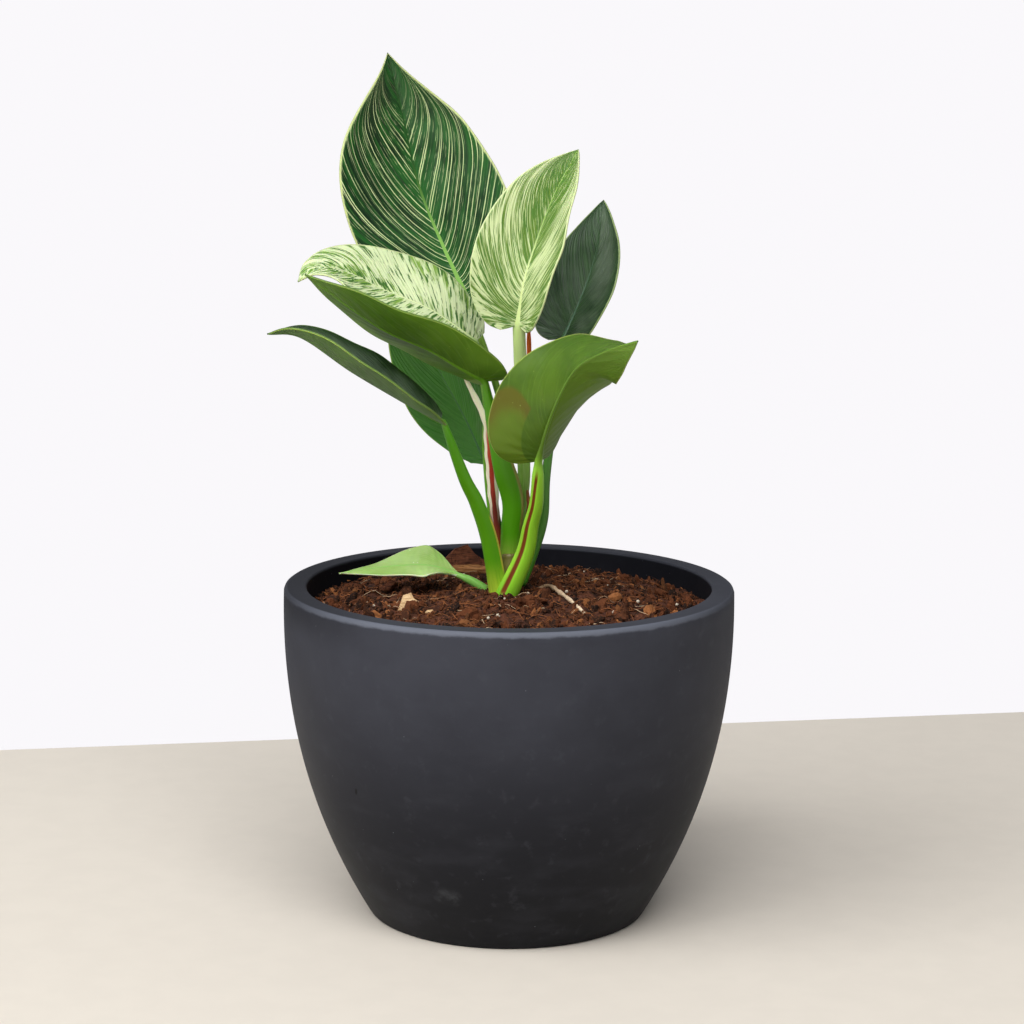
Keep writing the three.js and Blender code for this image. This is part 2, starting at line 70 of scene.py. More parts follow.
# Each leaf: rib and stalk are points along them. face is where its upper side looks, and fold the
# angles of its left and right half, at the base and at the tip; curl bends each half further.
# broad, lobe, skew, drip and drip_length shape the outline, veins and vein_start lay the veins.
# reach is the stalk's half width and half depth at its foot, middle and top; midrib is the half
# width of the midrib at its two ends.
LEAVES = {
    "leaf_1": dict(
        rib=[(-17, 42, 242), (-29.5, 48, 268), (-38.5, 52, 290), (-45, 54, 317), (-51, 48, 343)],
        face=[(0.12, -1, 0.1)] * 2, half_width=35,
        fold=[(15, 24)] * 2, curl=(6, 6), broad=0.74, lobe=1, skew=0.038, drip=0.6,
        stalk=[(-0.5, 9, 134), (-1, 13, 146), (-1, 17, 165), (-1.5, 21, 185), (-3.5, 27, 201),
               (-9, 33, 219), (-15, 38, 235), (-17, 42, 240)],
        reach=[(2.0, 1.8), (1.5, 1.5), (1.4, 1.4)], midrib=(2.9, 0.5),
    ),
    "leaf_2": dict(
        rib=[(3, -4, 238), (5, -2, 254), (9.5, 2, 269), (16.5, 6, 288), (26, 12, 306)],
        face=[(-0.55, -1, 0.1)] * 2, half_width=23,
        fold=[(30, 33)] * 2, curl=(6, 6), broad=0.8, lobe=0.5, drip=0.15,
        stalk=[(1, 6, 138), (3.5, 5, 159), (5.5, 4, 175), (5, 3, 191), (4, 0, 216), (3, -4, 238)],
        reach=[(2.4, 2.0), (2.6, 2.0), (2.6, 1.8)], midrib=(3.4, 0.5),
    ),
    "leaf_3": dict(
        rib=[(-14, 7, 230), (-32, 2, 243), (-50, -2, 251), (-66, -6, 259), (-77, -10, 260),
             (-83, -12, 255)],
        face=[(0.2, -0.45, 0.85), (-0.2, -0.45, 0.85)], half_width=26.5,
        fold=[(6, 6)] * 2, curl=(4, 4), broad=0.82, lobe=0.4, drip=0.5,
        veins=(1.8, (1.0, 1.0)),
        stalk=[(-3, 9, 136), (-7.5, 13, 161), (-10, 13, 186), (-10, 10, 206), (-14, 7, 230)],
        reach=[(1.8, 1.5), (1.3, 1.2), (1.2, 1.2)], midrib=(1.0, 0.3),
    ),
    "leaf_4": dict(
        rib=[(21, 14, 231), (27, 20, 244), (32, 26, 257), (35, 30, 269), (37, 36, 285)],
        face=[(-0.5, -1, 0.1)] * 2, half_width=18,
        fold=[(25, 25)] * 2, curl=(5, 5), broad=0.85, lobe=0.7, drip=0.2,
        stalk=[(4.5, 5, 132), (9, 8, 143), (13.5, 10, 158), (14.5, 11, 176), (18, 13, 206),
               (21, 14, 231)],
        reach=[(2.2, 2.0), (1.8, 1.6), (1.5, 1.5)], midrib=(1.0, 0.25),
    ),
    "leaf_5": dict(
        rib=[(-10, -12, 217), (-19, -16, 222), (-32, -20, 230), (-51, -24, 239), (-79, -26, 259)],
        face=[(0.3, 0.45, 0.85)] * 2, half_width=22,
        fold=[(8, 8)] * 2, curl=(4, 4), broad=0.85, lobe=0.6, drip=0.3,
        stalk=[(-0.5, 1, 138), (0.5, -1, 156), (1, -3, 168), (-3, -6, 183), (-7, -9, 201),
               (-10, -12, 216)],
        reach=[(3.6, 2.4), (4.4, 2.2), (1.7, 1.6)], midrib=(1.9, 0.3),
    ),
    "leaf_6": dict(
        rib=[(-27, -22, 202), (-42, -28, 211), (-61, -34, 223), (-80, -36, 236), (-93, -34, 237)],
        face=[(0.3, -0.05, 0.9), (0.3, 0, 0.9)], half_width=18,
        fold=[(6, 24), (34, 30)], curl=(8, 8), broad=0.8, lobe=0.1, drip=0.4,
        vein_start=1.9,
        stalk=[(-4, -3.5, 129), (-8, -6, 152), (-13, -10, 168), (-18, -14, 179), (-26, -22, 202)],
        reach=[(3.8, 3.4), (3.0, 2.6), (1.5, 1.4)], midrib=(0.8, 0.2),
    ),
    "leaf_7": dict(
        rib=[(-9.5, 24, 178), (-18, 28, 196), (-29, 29, 216), (-39, 27, 236), (-47.5, 23, 254)],
        face=[(-0.42, -1, 0)] * 2, half_width=19,
        fold=[(25, 25), (20, 20)], curl=(5, 5), broad=0.75, lobe=-0.5, drip=0.3,
        vein_start=1.8,
        stalk=[(-2, 11, 136), (-5, 17, 156), (-8, 21, 168), (-9, 24, 178)],
        reach=[(2.0, 1.7), (1.5, 1.4), (1.4, 1.4)], midrib=(1.1, 0.25),
    ),
    "leaf_8": dict(
        rib=[(11, -22, 187), (14, -32, 201), (19, -43, 216), (25, -51, 227), (35, -58, 234),
             (47, -66, 239)],
        face=[(-0.42, 0.8, 0.5), (-0.2, 1, 0.1)], half_width=25,
        fold=[(31, 27), (-15, 128)], curl=(20, 10), broad=0.95, lobe=0.55, drip=0,
        stalk=[(-2, -7.5, 128), (6, -9, 147), (8.5, -12, 160), (10.5, -16, 170), (11, -22, 186)],
        reach=[(4.4, 3.4), (3.2, 2.6), (2.2, 2.0)], midrib=(1.1, 0.15),
    ),
    "leaf_9": dict(
        rib=[(-19, 2, 136), (-32, 2, 140), (-48, 0, 140), (-68, -4, 138)],
        face=[(0, -0.24, 0.97)] * 2, half_width=12,
        fold=[(14, 30), (-18, -18)], curl=(6, 6), broad=1.05, lobe=-1.6, drip=0.75,
        drip_length=0.8, vein_start=1.4,
        stalk=[(-5, 1, 128), (-13, 2, 133), (-19, 2, 136)],
        reach=[(2.0, 1.6), (1.8, 1.5), (1.6, 1.3)], midrib=(1.4, 0.3),
    ),
}

SHEATHS = {
    "sheath_red": dict(
        stalk=[(-4, 2, 144), (-6.5, 4.5, 167), (-8.5, 5.5, 191), (-10.5, 6, 200), (-19, 9, 217)],
        reach=[(1.4, 0.5), (2.4, 0.5), (0.6, 0.4)],
    ),
    "sheath_orange": dict(
        stalk=[(5, 6.5, 146), (6.5, 9, 175), (7.5, 8.5, 207), (7, 6, 235)],
        reach=[(1.6, 0.5), (1.4, 0.5), (0.8, 0.5)],
    ),
    "sheath_brown": dict(
        stalk=[(4.5, 1, 146), (7.5, -2, 162), (7, -1, 172)],
        reach=[(1.4, 0.5), (1.3, 0.5), (0.5, 0.4)],
    ),
}

CHIPS = {
    "bark_chip": dict(
        thickness=5, at=(-18, 50, 133.5), turn=(68, 6, -10),
        outline=[(-10, -5), (-3, -6.5), (9, -5), (10, 0), (3, 3), (-1, 6.5), (-6, 3.5), (-9, -1)],
    ),
    "bark_strip": dict(
        thickness=2.6, at=(-14, 38, 131.5), turn=(12, 4, 4),
        outline=[(-12, -1.5), (-5, -2.6), (6, -2.4), (11, -1), (9, 1.8), (0, 2.6), (-9, 1.6)],
    ),
    "wood_chip": dict(
        thickness=1.4, at=(-39, -22, 129.5), turn=(52, 8, -14),
        outline=[(-3.8, -4.4), (0.6, -3.6), (4.2, -2.8), (3.6, 2), (0.8, 3.1), (-0.8, 5), (-3.6, 3.1)],
    ),
    "small_chip": dict(
        thickness=1.2, at=(-31, -31, 128), turn=(30, -10, 30),
        outline=[(-1.8, -1), (1.6, -1.3), (2, 0.4), (0.2, 1.5), (-1.6, 1)],
    ),
    "dark_chip": dict(
        thickness=2, at=(-49.5, 9, 129.5), turn=(34, -18, 28),
        outline=[(-4.6, -1.8), (1, -2.4), (4.8, -0.8), (3.4, 1.6), (-2, 2.2), (-4.4, 1)],
    ),
}

ROOT = dict(
    stalk=[(11, 7, 129.5), (16, 5, 131.8), (20, -9, 132.2), (24.5, -22, 131.3), (29.5, -32, 128.6)],
    reach=[(0.8, 0.8), (0.9, 0.8), (0.6, 0.5)],
)

RIM_RADIUS = 90
POT_HEIGHT = 133.5
FOOT_RADIUS = 56
BELLY_LOW = 83
BELLY_HIGH = 91.5
FOOT_ROUND = 1.6
RIM_EDGE = (1.0, 1.6)  # its bevel: across and down
RIM_LIP = 0.8
WALL = 9
FLOOR = 9

SOIL_EDGE = 124
SOIL_RISE = 7
SOIL_WAVES = [  # height, radians per millimetre along X and Y, start
    (0.275, 0.21, 0.27, 0.9), (0.275, 0.21, -0.27, 1.7), (0.33, 0.43, -0.36, 0),
    (0.22, 0.61, 0.72, 1.57),
]
STEM = dict(foot=96, top=147, radius=4.6)


# ---- curves ----

PATH_SAMPLES = 801
TANGENT_STEP = 0.004  # share of a path's length


def spline(control, u):
    """Points of a Catmull-Rom curve through the control points; u runs from 0 to 1 over them."""
    p = np.asarray(control, float)
    padded = np.vstack([2 * p[0] - p[1], p, 2 * p[-1] - p[-2]])
    where = np.clip(u, 0, 1) * (len(p) - 1)
    i = np.minimum(where.astype(int), len(p) - 2)
    w = (where - i)[..., None]
    before, start, end, after = (padded[i + k] for k in range(4))
    leave = 0.5 * (end - before)
    arrive = 0.5 * (after - start)
    return (start + leave * w + (3 * (end - start) - 2 * leave - arrive) * w ** 2
            + (2 * (start - end) + leave + arrive) * w ** 3)


class Path:
    """A curve that is measured by the share of its length."""

    def __init__(self, control):
        self.points = spline(control, np.linspace(0, 1, PATH_SAMPLES))
        steps = np.linalg.norm(np.diff(self.points, axis=0), axis=1)
        lengths = np.concatenate([[0], np.cumsum(steps)])
        self.length = lengths[-1]
        self.share = lengths / self.length

    def at(self, t):
        return np.stack([np.interp(t, self.share, self.points[:, k]) for k in range(3)], -1)

    def tangent(self, t):
        ahead = self.at(np.clip(t + TANGENT_STEP, 0, 1))
        return unit(ahead - self.at(np.clip(t - TANGENT_STEP, 0, 1)))


def unit(v):
    return v / np.maximum(np.linalg.norm(v, axis=-1, keepdims=True), 1e-9)


def mix(a, b, t):
    return a + (b - a) * t


def smooth_step(a, b, x):
    t = np.clip((x - a) / (b - a), 0, 1)
    return t * t * (3 - 2 * t)


def frames_along(control, rings, up=AWAY):
    """Shares of a path's length, its points there, and the two directions across it."""
    path = Path(control)
    t = np.linspace(0, 1, rings)
    along = path.tangent(t)
    across = unit(np.cross(up, along))
    return t, path.at(t), across, np.cross(along, across)


def reach_along(piece, t):
    """Half width and half depth, on straight lines from the foot over the middle to the top."""
    return [np.interp(t, [0, 0.5, 1], values) for values in zip(*piece["reach"])]


# ---- meshes ----

def add_to_scene(name, data):
    thing = bpy.data.objects.new(name, data)
    bpy.context.scene.collection.objects.link(thing)
    return thing


def add_object(name, points, faces, materials, uvs=None, slots=None, smooth=True):
    """A mesh object from points in millimetres; uvs has one pair for each corner of each face."""
    mesh = bpy.data.meshes.new(name)
    mesh.from_pydata((np.asarray(points, float) * MM).tolist(), [], faces)
    if uvs is not None:
        mesh.uv_layers.new(name="UVMap").data.foreach_set("uv", np.asarray(uvs, np.float32).ravel())
    for material in materials:
        mesh.materials.append(material)
    if slots is not None:
        mesh.polygons.foreach_set("material_index", slots)
    mesh.polygons.foreach_set("use_smooth", [smooth] * len(mesh.polygons))
    mesh.update()
    return add_to_scene(name, mesh)


def dress(piece, node):
    """The piece stands for a CAD node and moves with the part."""
    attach(piece, "root")
    if node:
        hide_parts(node)


class Batch:
    """Many small bodies gathered in one mesh, each with one UV point of its own."""

    def __init__(self):
        self.points = []
        self.faces = []
        self.uvs = []

    def add(self, points, faces, uv):
        base = len(self.points)
        self.points.extend(points.tolist())
        for face in faces:
            self.faces.append([base + k for k in face])
            self.uvs.extend([uv] * len(face))

    def build(self, name, material, slot, smooth=True):
        dress(add_object(name, self.points, self.faces, [material], self.uvs, smooth=smooth), None)


def ring(radius, height, sides):
    angles = np.linspace(0, 2 * math.pi, sides, endpoint=False)
    return [(radius * math.cos(a), radius * math.sin(a), height) for a in angles]


def tube_faces(rings, sides):
    """Faces of a closed tube of rings, each corner with (share of the length, share of the turn)."""
    faces = []
    uvs = []
    for j in range(rings - 1):
        low, high = j / (rings - 1), (j + 1) / (rings - 1)
        for i in range(sides):
            n = (i + 1) % sides
            faces.append([j * sides + i, j * sides + n, (j + 1) * sides + n, (j + 1) * sides + i])
            left, right = i / sides, (i + 1) / sides
            uvs.extend([(low, left), (low, right), (high, right), (high, left)])
    faces.append(list(reversed(range(sides))))
    uvs.extend([(0, i / sides) for i in reversed(range(sides))])
    last = (rings - 1) * sides
    faces.append([last + i for i in range(sides)])
    uvs.extend([(1, i / sides) for i in range(sides)])
    return faces, uvs


def tube_points(centres, across, deep, half, depth, sides, swell=None):
    """Rings of points round the centres. swell(angle, share) scales the section."""
    angles = np.linspace(0, 2 * math.pi, sides, endpoint=False)
    share = np.linspace(0, 1, len(centres))
    scale = swell(angles[None, :], share[:, None]) if swell else 1
    x = half[:, None] * np.cos(angles)[None, :] * scale
    y = depth[:, None] * np.sin(angles)[None, :] * scale
    rings = centres[:, None, :] + across[:, None, :] * x[..., None] + deep[:, None, :] * y[..., None]
    return rings.reshape(-1, 3)


# ---- a blade ----

BLADE_ROWS = 72
BLADE_COLUMNS = 22
COLUMN_CROWD = 0.85  # below 1, the columns stand closer together at the margin
RIPPLE = 0.35  # height of the margin's waves
RIDGES = 15  # modelled veins on each half, and how far they rise
RIDGE_RISE = 0.1
VEIN_LEAN = 7.0  # how far the painted veins run towards the tip on their way out
VEIN_OUT = (1.7, 0.85)  # how late they turn that way: from the base, and from half-way up
VEIN_CROWD = 0.6  # how much closer together they stand near the base
VEIN_ROUNDS = 26  # of the search for a vein's foot
MARGIN_SAMPLES = 1201


def blade_frame(leaf, t):
    rib = Path(leaf["rib"])
    tangent = rib.tangent(t)
    base, tip = np.array(leaf["face"], float)
    right = unit(np.cross(tangent, mix(base, tip, t[..., None])))
    return rib, tangent, right, np.cross(right, tangent)


def place_on_leaf(leaf, side, across, flat_along):
    """Flat leaf coordinates on the bent and folded leaf, with the same rule as in the source."""
    along = flat_along - leaf.get("skew", 0) * side * across
    t = np.clip(along, 0, 1)
    rib, tangent, right, normal = blade_frame(leaf, t)
    middle = rib.at(t) + tangent * ((along - t) * rib.length)[..., None]
    distance = across * leaf["half_width"]
    half = np.where(side < 0, 0, 1)
    fold_base, fold_tip = (np.array(f, float)[half] for f in leaf["fold"])
    start = np.radians(mix(fold_base, fold_tip, t))
    bend = np.radians(np.array(leaf["curl"], float)[half]) / leaf["half_width"]
    end = start + bend * distance
    out = (np.sin(end) - np.sin(start)) / bend
    rise = (np.cos(start) - np.cos(end)) / bend
    return middle + right * (side * out)[..., None] + normal * rise[..., None]


def margin(leaf, t):
    """The margin of half a flat blade: across in half-widths and along in lengths."""
    edge = spline(HALF_OUTLINE, t)
    along = np.maximum(edge[:, 1], 0) ** leaf["broad"] - leaf["lobe"] * edge[:, 2]
    length = leaf.get("drip_length", DRIP_LENGTH)
    slim = 1 - leaf["drip"] * np.clip(1 - (1 - along) / length, 0, 1) ** 2
    return edge[:, 0] * slim, along


def vein_through(leaf, across, along):
    """Which painted vein passes each point of the flat blade: 0 at the base and 1 at the tip."""
    lean, (from_base, from_middle) = leaf.get("veins", (VEIN_LEAN, VEIN_OUT))
    far_across, far_along = margin(leaf, np.linspace(0, 1, MARGIN_SAMPLES))
    lowest = int(np.argmin(far_along))
    width = np.interp(along, far_along[lowest:], far_across[lowest:])
    share = np.clip(across / np.maximum(width, 1e-6), 1e-4, 1)
    low, high = np.full_like(along, -0.5), np.ones_like(along)
    for _ in range(VEIN_ROUNDS):
        foot = (low + high) / 2
        late = mix(from_base, from_middle, np.clip(foot * 2, 0, 1))
        short = mix(foot, 1 - (1 - foot) ** lean, share ** late) < along
        low = np.where(short, foot, low)
        high = np.where(short, high, foot)
    return (foot + VEIN_CROWD * (1 - (1 - foot) ** lean)) / (1 + VEIN_CROWD)


def build_blade(name, leaf, upper, under, seed):
    """Both sides of a blade and its rim; UV is the painted vein and the place from side to side."""
    width = 2 * BLADE_COLUMNS + 1
    share = np.linspace(-1, 1, width)
    signed = np.sign(share) * np.abs(share) ** COLUMN_CROWD
    t = np.linspace(0, 1, BLADE_ROWS + 1)
    edge, end = margin(leaf, t)
    start = t ** leaf.get("vein_start", VEIN_START)
    r = np.abs(signed)[None, :]
    along = mix(start[:, None], end[:, None], r ** VEIN_SWEEP)
    across = edge[:, None] * r
    side = np.where(signed < 0, -1.0, 1.0)[None, :] * np.ones_like(along)
    middle = place_on_leaf(leaf, side, across, along)
    vein = vein_through(leaf, across, along)
    uv_at = np.stack([vein, np.broadcast_to(0.5 + 0.5 * signed, vein.shape)], -1)

    normal = unit(np.cross(np.gradient(middle, axis=1), np.gradient(middle, axis=0)))
    normal[0] = normal[1]
    normal[-1] = normal[-2]
    row = t[:, None]
    waves = np.sin(row * 17 + seed * 2.1 + side * 1.3) + 0.6 * np.sin(row * 31 + seed)
    ripple = RIPPLE * waves * r ** 3 * np.sin(math.pi * row)
    ridges = RIDGE_RISE * np.sin(2 * math.pi * RIDGES * row) * np.sin(math.pi * r)
    middle = middle + normal * (ripple + ridges)[..., None]
    thick = mix(mix(BLADE_MIDDLE, BLADE_MARGIN, r), BLADE_TIP, row ** 2) / 2
    points = np.stack([middle + normal * thick[..., None], middle - normal * thick[..., None]])

    count = along.size
    index = np.arange(count).reshape(along.shape)
    index[0] = BLADE_COLUMNS
    index[-1] += BLADE_COLUMNS - np.arange(width)
    faces, uvs, slots = [], [], []
    for lower in (0, 1):
        for j in range(BLADE_ROWS):
            for i in range(width - 1):
                corners = [(j, i), (j, i + 1), (j + 1, i + 1), (j + 1, i)]
                if lower:
                    corners.reverse()
                face = {}
                for corner in corners:
                    face.setdefault(int(index[corner]) + lower * count, corner)
                if len(face) > 2:
                    faces.append(list(face))
                    uvs.extend(uv_at[corner] for corner in face.values())
                    slots.append(lower)
    rim = [(j, width - 1) for j in range(BLADE_ROWS + 1)] + [(j, 0) for j in range(BLADE_ROWS - 1, 0, -1)]
    for here, there in zip(rim, rim[1:] + rim[:1]):
        a, b = int(index[here]), int(index[there])
        faces.append([a, a + count, b + count, b])
        uvs.extend([uv_at[here]] * 2 + [uv_at[there]] * 2)
        slots.append(0)
    used = sorted({k for face in faces for k in face})
    new = {k: n for n, k in enumerate(used)}
    faces = [[new[k] for k in face] for face in faces]
    points = points.reshape(-1, 3)[used]
    piece = add_object(f"{name}_blade_fine", points, faces, [upper, under], uvs, slots)
    dress(piece, f"{name}_blade")


# ---- a petiole with its midrib ----

STALK_RINGS = 60
STALK_SIDES = 28
RIB_RINGS = 50
RIB_SPAN = (0.02, 0.985)  # of the blade's length
RIB_SHAPE = 0.55  # how soon the midrib slims from its base width to its tip width
RIB_DEPTH = (1.1, 0.42)
JOIN = 5  # rings over which stalk and midrib run into each other
TURN_FROM = 0.75  # of the stalk, where it starts to turn to the midrib's side
GROOVE_FADE = (0.08, 0.12)  # of the stalk, at a groove's start and end


def build_petiole(name, leaf, material, swell=None):
    """One tube from the crown up the stalk and along the blade's midrib to the tip."""
    stalk = Path(leaf["stalk"])
    t = np.linspace(0, 1, STALK_RINGS)
    stalk_across = unit(np.cross(AWAY, stalk.tangent(t)))
    stalk_half, stalk_depth = reach_along(leaf, t)

    u = np.linspace(*RIB_SPAN, RIB_RINGS)
    rib, _, right, _ = blade_frame(leaf, u)
    rib_half = mix(*leaf["midrib"], u ** RIB_SHAPE)
    rib_depth = np.minimum(rib_half, mix(*RIB_DEPTH, u ** 0.5))

    centres = np.concatenate([stalk.at(t), rib.at(u)])
    along = unit(np.gradient(centres, axis=0))
    rib_across = right if np.dot(right[0], stalk_across[-1]) > 0 else -right
    weight = smooth_step(TURN_FROM, 1, t)[:, None]
    stalk_across = unit(mix(stalk_across, rib_across[0], weight))
    across = np.concatenate([stalk_across, rib_across])
    across = unit(across - along * np.sum(across * along, -1, keepdims=True))
    deep = unit(np.cross(along, across))
    half = np.concatenate([stalk_half, rib_half])
    depth = np.concatenate([stalk_depth, rib_depth])
    for values in (half, depth):
        kept = values.copy()
        for k in range(STALK_RINGS - JOIN, STALK_RINGS + JOIN):
            values[k] = kept[k - JOIN:k + JOIN + 1].mean()
    rings = STALK_RINGS + RIB_RINGS
    share = STALK_RINGS / rings

    def section(angle, where):
        return swell(angle, np.clip(where / share, 0, 1.2))

    points = tube_points(centres, across, deep, half, depth, STALK_SIDES, swell and section)
    faces, uvs = tube_faces(rings, STALK_SIDES)
    uvs = [(min(a / share, 1) + max(a - share, 0) / (1 - share), b) for a, b in uvs]
    dress(add_object(f"{name}_petiole_fine", points, faces, [material], uvs), f"{name}_petiole")


def grooved(*grooves):
    """A section with lengthwise grooves: middle and width in degrees, depth (below 0 for a ridge)
    as a share of the radius, and where it starts and ends."""
    def swell(angle, where):
        scale = 1
        fade_in, fade_out = GROOVE_FADE
        for middle, width, depth, start, end in grooves:
            turn = (np.degrees(angle) - middle + 180) % 360 - 180
            window = smooth_step(start, start + fade_in, where)
            window = window * (1 - smooth_step(end - fade_out, end, where))
            scale = scale - depth * np.exp(-(turn / width) ** 2) * window
        return scale
    return swell


# ---- thin dry sheaths ----

SHEATH_RINGS = 48
SHEATH_SIDES = 20
SHEATH_FLAT = 0.55  # of the solid's depth
SHEATH_CUP = 0.45  # how far its edges stand forward, in half-widths


def build_sheath(name, sheath, material):
    """A papery scale: a shallow channel along its path that narrows to a torn point."""
    t, centres, across, deep = frames_along(sheath["stalk"], SHEATH_RINGS)
    half, depth = reach_along(sheath, t)
    half = half * (1 + 0.14 * np.sin(t * 23) * t + 0.08 * np.sin(t * 61))
    points = tube_points(centres, across, deep, half, depth * SHEATH_FLAT, SHEATH_SIDES)
    points = points.reshape(SHEATH_RINGS, SHEATH_SIDES, 3)
    offset = np.cos(np.linspace(0, 2 * math.pi, SHEATH_SIDES, endpoint=False)) ** 2
    points = points + deep[:, None, :] * (half[:, None] * SHEATH_CUP * offset[None, :])[..., None]
    faces, uvs = tube_faces(SHEATH_RINGS, SHEATH_SIDES)
    dress(add_object(f"{name}_fine", points.reshape(-1, 3), faces, [material], uvs), name)


# ---- soil ----

SOIL_SIDES = 260
SOIL_RINGS = 96
SOIL_WALL_RINGS = 14
SOIL_GAP = 0.3  # from the soil's body to the pot's wall and floor
SOIL_BUMPS = (1.5, 0.5)  # coarse and fine
SOIL_CALM = 12  # rings round the middle, where the bumps fade out
SOIL_SINK = 0.4  # how far it lies below the crumbs' bed
BED_BUMPS = 1.4
# Loose crumbs: name, how many, how round (of the ball they are cut from), size and its spread.
CRUMBS = [("soil_crumbs", 900, 2, 1.05, 0.5), ("soil_grit", 4200, 1, 0.55, 0.4)]
CRUMB_LIMIT = 2.6
CRUMB_INSET = 1.6  # from the edge of the soil
CRUMB_STRETCH = [(0.8, 2.1), (0.5, 1.1), (0.4, 0.9)]
CRUMB_KNOBS = 0.24
CRUMB_LIFT = (-0.2, 0.35)  # in sizes of the crumb
ROOT_CLEAR = 2.0  # how near the surface root the crumbs lie lower, and how much
ROOT_DIP = 1.5
FIBRES = 900
FIBRE_RINGS = 7
FIBRE_SIDES = 4
FIBRE_INSET = 5
FIBRE_POINTS = 5
FIBRE_BUMPS = 1.2
FIBRE_LENGTH = (4, 13)
FIBRE_HALF = (0.07, 0.22)
FIBRE_LIFT = (0.1, 1.6)
FIBRE_BEND = 0.45  # radians, from one of its points to the next
PALE_EVERY = 14  # one fibre in so many is a pale rootlet
SPECKS = 34
SPECK_INSET = 4
SPECK_SIZE = (0.25, 0.75)
SPECK_KNOBS = 0.2
SPECK_LIFT = 0.9


def wall_point(t):
    u = 1 - t
    radius = (FOOT_RADIUS * u ** 3 + 3 * BELLY_LOW * t * u ** 2
              + 3 * BELLY_HIGH * t ** 2 * u + RIM_RADIUS * t ** 3)
    return np.stack([radius, POT_HEIGHT * t], -1)


def inner_radius(height):
    """Radius of the wall moved inwards by its thickness, at a height."""
    t = np.linspace(0.001, 0.999, 400)
    along = unit(wall_point(t + 0.001) - wall_point(t - 0.001))
    inset = wall_point(t) + np.stack([-along[:, 1], along[:, 0]], -1) * WALL
    return float(np.interp(height, inset[:, 1], inset[:, 0]))


def soil_height(x, y):
    rise = SOIL_RISE * (1 - (x * x + y * y) / (RIM_RADIUS - WALL) ** 2)
    lumps = sum(high * math.sin(a * x + b * y + start) for high, a, b, start in SOIL_WAVES)
    return SOIL_EDGE + rise + lumps


def rough(x, y, scale=7, octaves=4):
    return noise.fractal(Vector((x / scale, y / scale, 3.7)), 0.7, 2.1, octaves)


def bed(x, y, bumps=BED_BUMPS):
    """Height on which the loose pieces lie."""
    return soil_height(x, y) + bumps * rough(x, y)


def build_soil(material):
    edge = inner_radius(SOIL_EDGE) - 0.2
    coarse, fine = SOIL_BUMPS
    points = []
    for height in np.linspace(FLOOR + SOIL_GAP, SOIL_EDGE - 2, SOIL_WALL_RINGS):
        points += ring(inner_radius(height) - SOIL_GAP, height, SOIL_SIDES)
    for k in range(SOIL_RINGS, 0, -1):
        for x, y, _ in ring(edge * k / SOIL_RINGS, 0, SOIL_SIDES):
            bumps = coarse * rough(x, y) + fine * rough(x + 50, y, 1.6, 2)
            points.append((x, y, soil_height(x, y) + bumps * min(1, k / SOIL_CALM) - SOIL_SINK))
    faces, _ = tube_faces(SOIL_WALL_RINGS + SOIL_RINGS, SOIL_SIDES)
    dress(add_object("soil_surface", points, faces, [material]), "soil")


def unit_chunk(subdivisions):
    ball = bmesh.new()
    bmesh.ops.create_icosphere(ball, subdivisions=subdivisions, radius=1)
    points = np.array([v.co[:] for v in ball.verts])
    faces = [[v.index for v in f.verts] for f in ball.faces]
    ball.free()
    return points, faces


def scatter_spot(draw, inset):
    """A random place on the soil, away from its edge."""
    radius = (inner_radius(SOIL_EDGE) - inset) * math.sqrt(draw.random())
    angle = draw.uniform(0, 2 * math.pi)
    return radius * math.cos(angle), radius * math.sin(angle)


def knobbly(draw, points, spread):
    return points * np.array([1 + draw.uniform(-spread, spread) for _ in points])[:, None]


def build_crumbs(material):
    draw = random.Random(7)
    root = Path(ROOT["stalk"]).at(np.linspace(0, 1, 40))
    for name, count, subdivisions, size, spread in CRUMBS:
        points, faces = unit_chunk(subdivisions)
        batch = Batch()
        for _ in range(count):
            x, y = scatter_spot(draw, CRUMB_INSET)
            reach = min(size * math.exp(draw.gauss(0, spread)), CRUMB_LIMIT)
            stretch = np.array([draw.uniform(*limits) for limits in CRUMB_STRETCH])
            body = knobbly(draw, points, CRUMB_KNOBS) * stretch * reach
            turn = Euler([draw.uniform(0, 6.28) for _ in range(3)]).to_matrix()
            lift = bed(x, y) + reach * draw.uniform(*CRUMB_LIFT)
            if np.min(np.hypot(root[:, 0] - x, root[:, 1] - y)) < ROOT_CLEAR:
                lift -= ROOT_DIP
            body = body @ np.array(turn).T + np.array([x, y, lift])
            batch.add(body, faces, (draw.random(), draw.random()))
        batch.build(name, material, "soil", smooth=False)


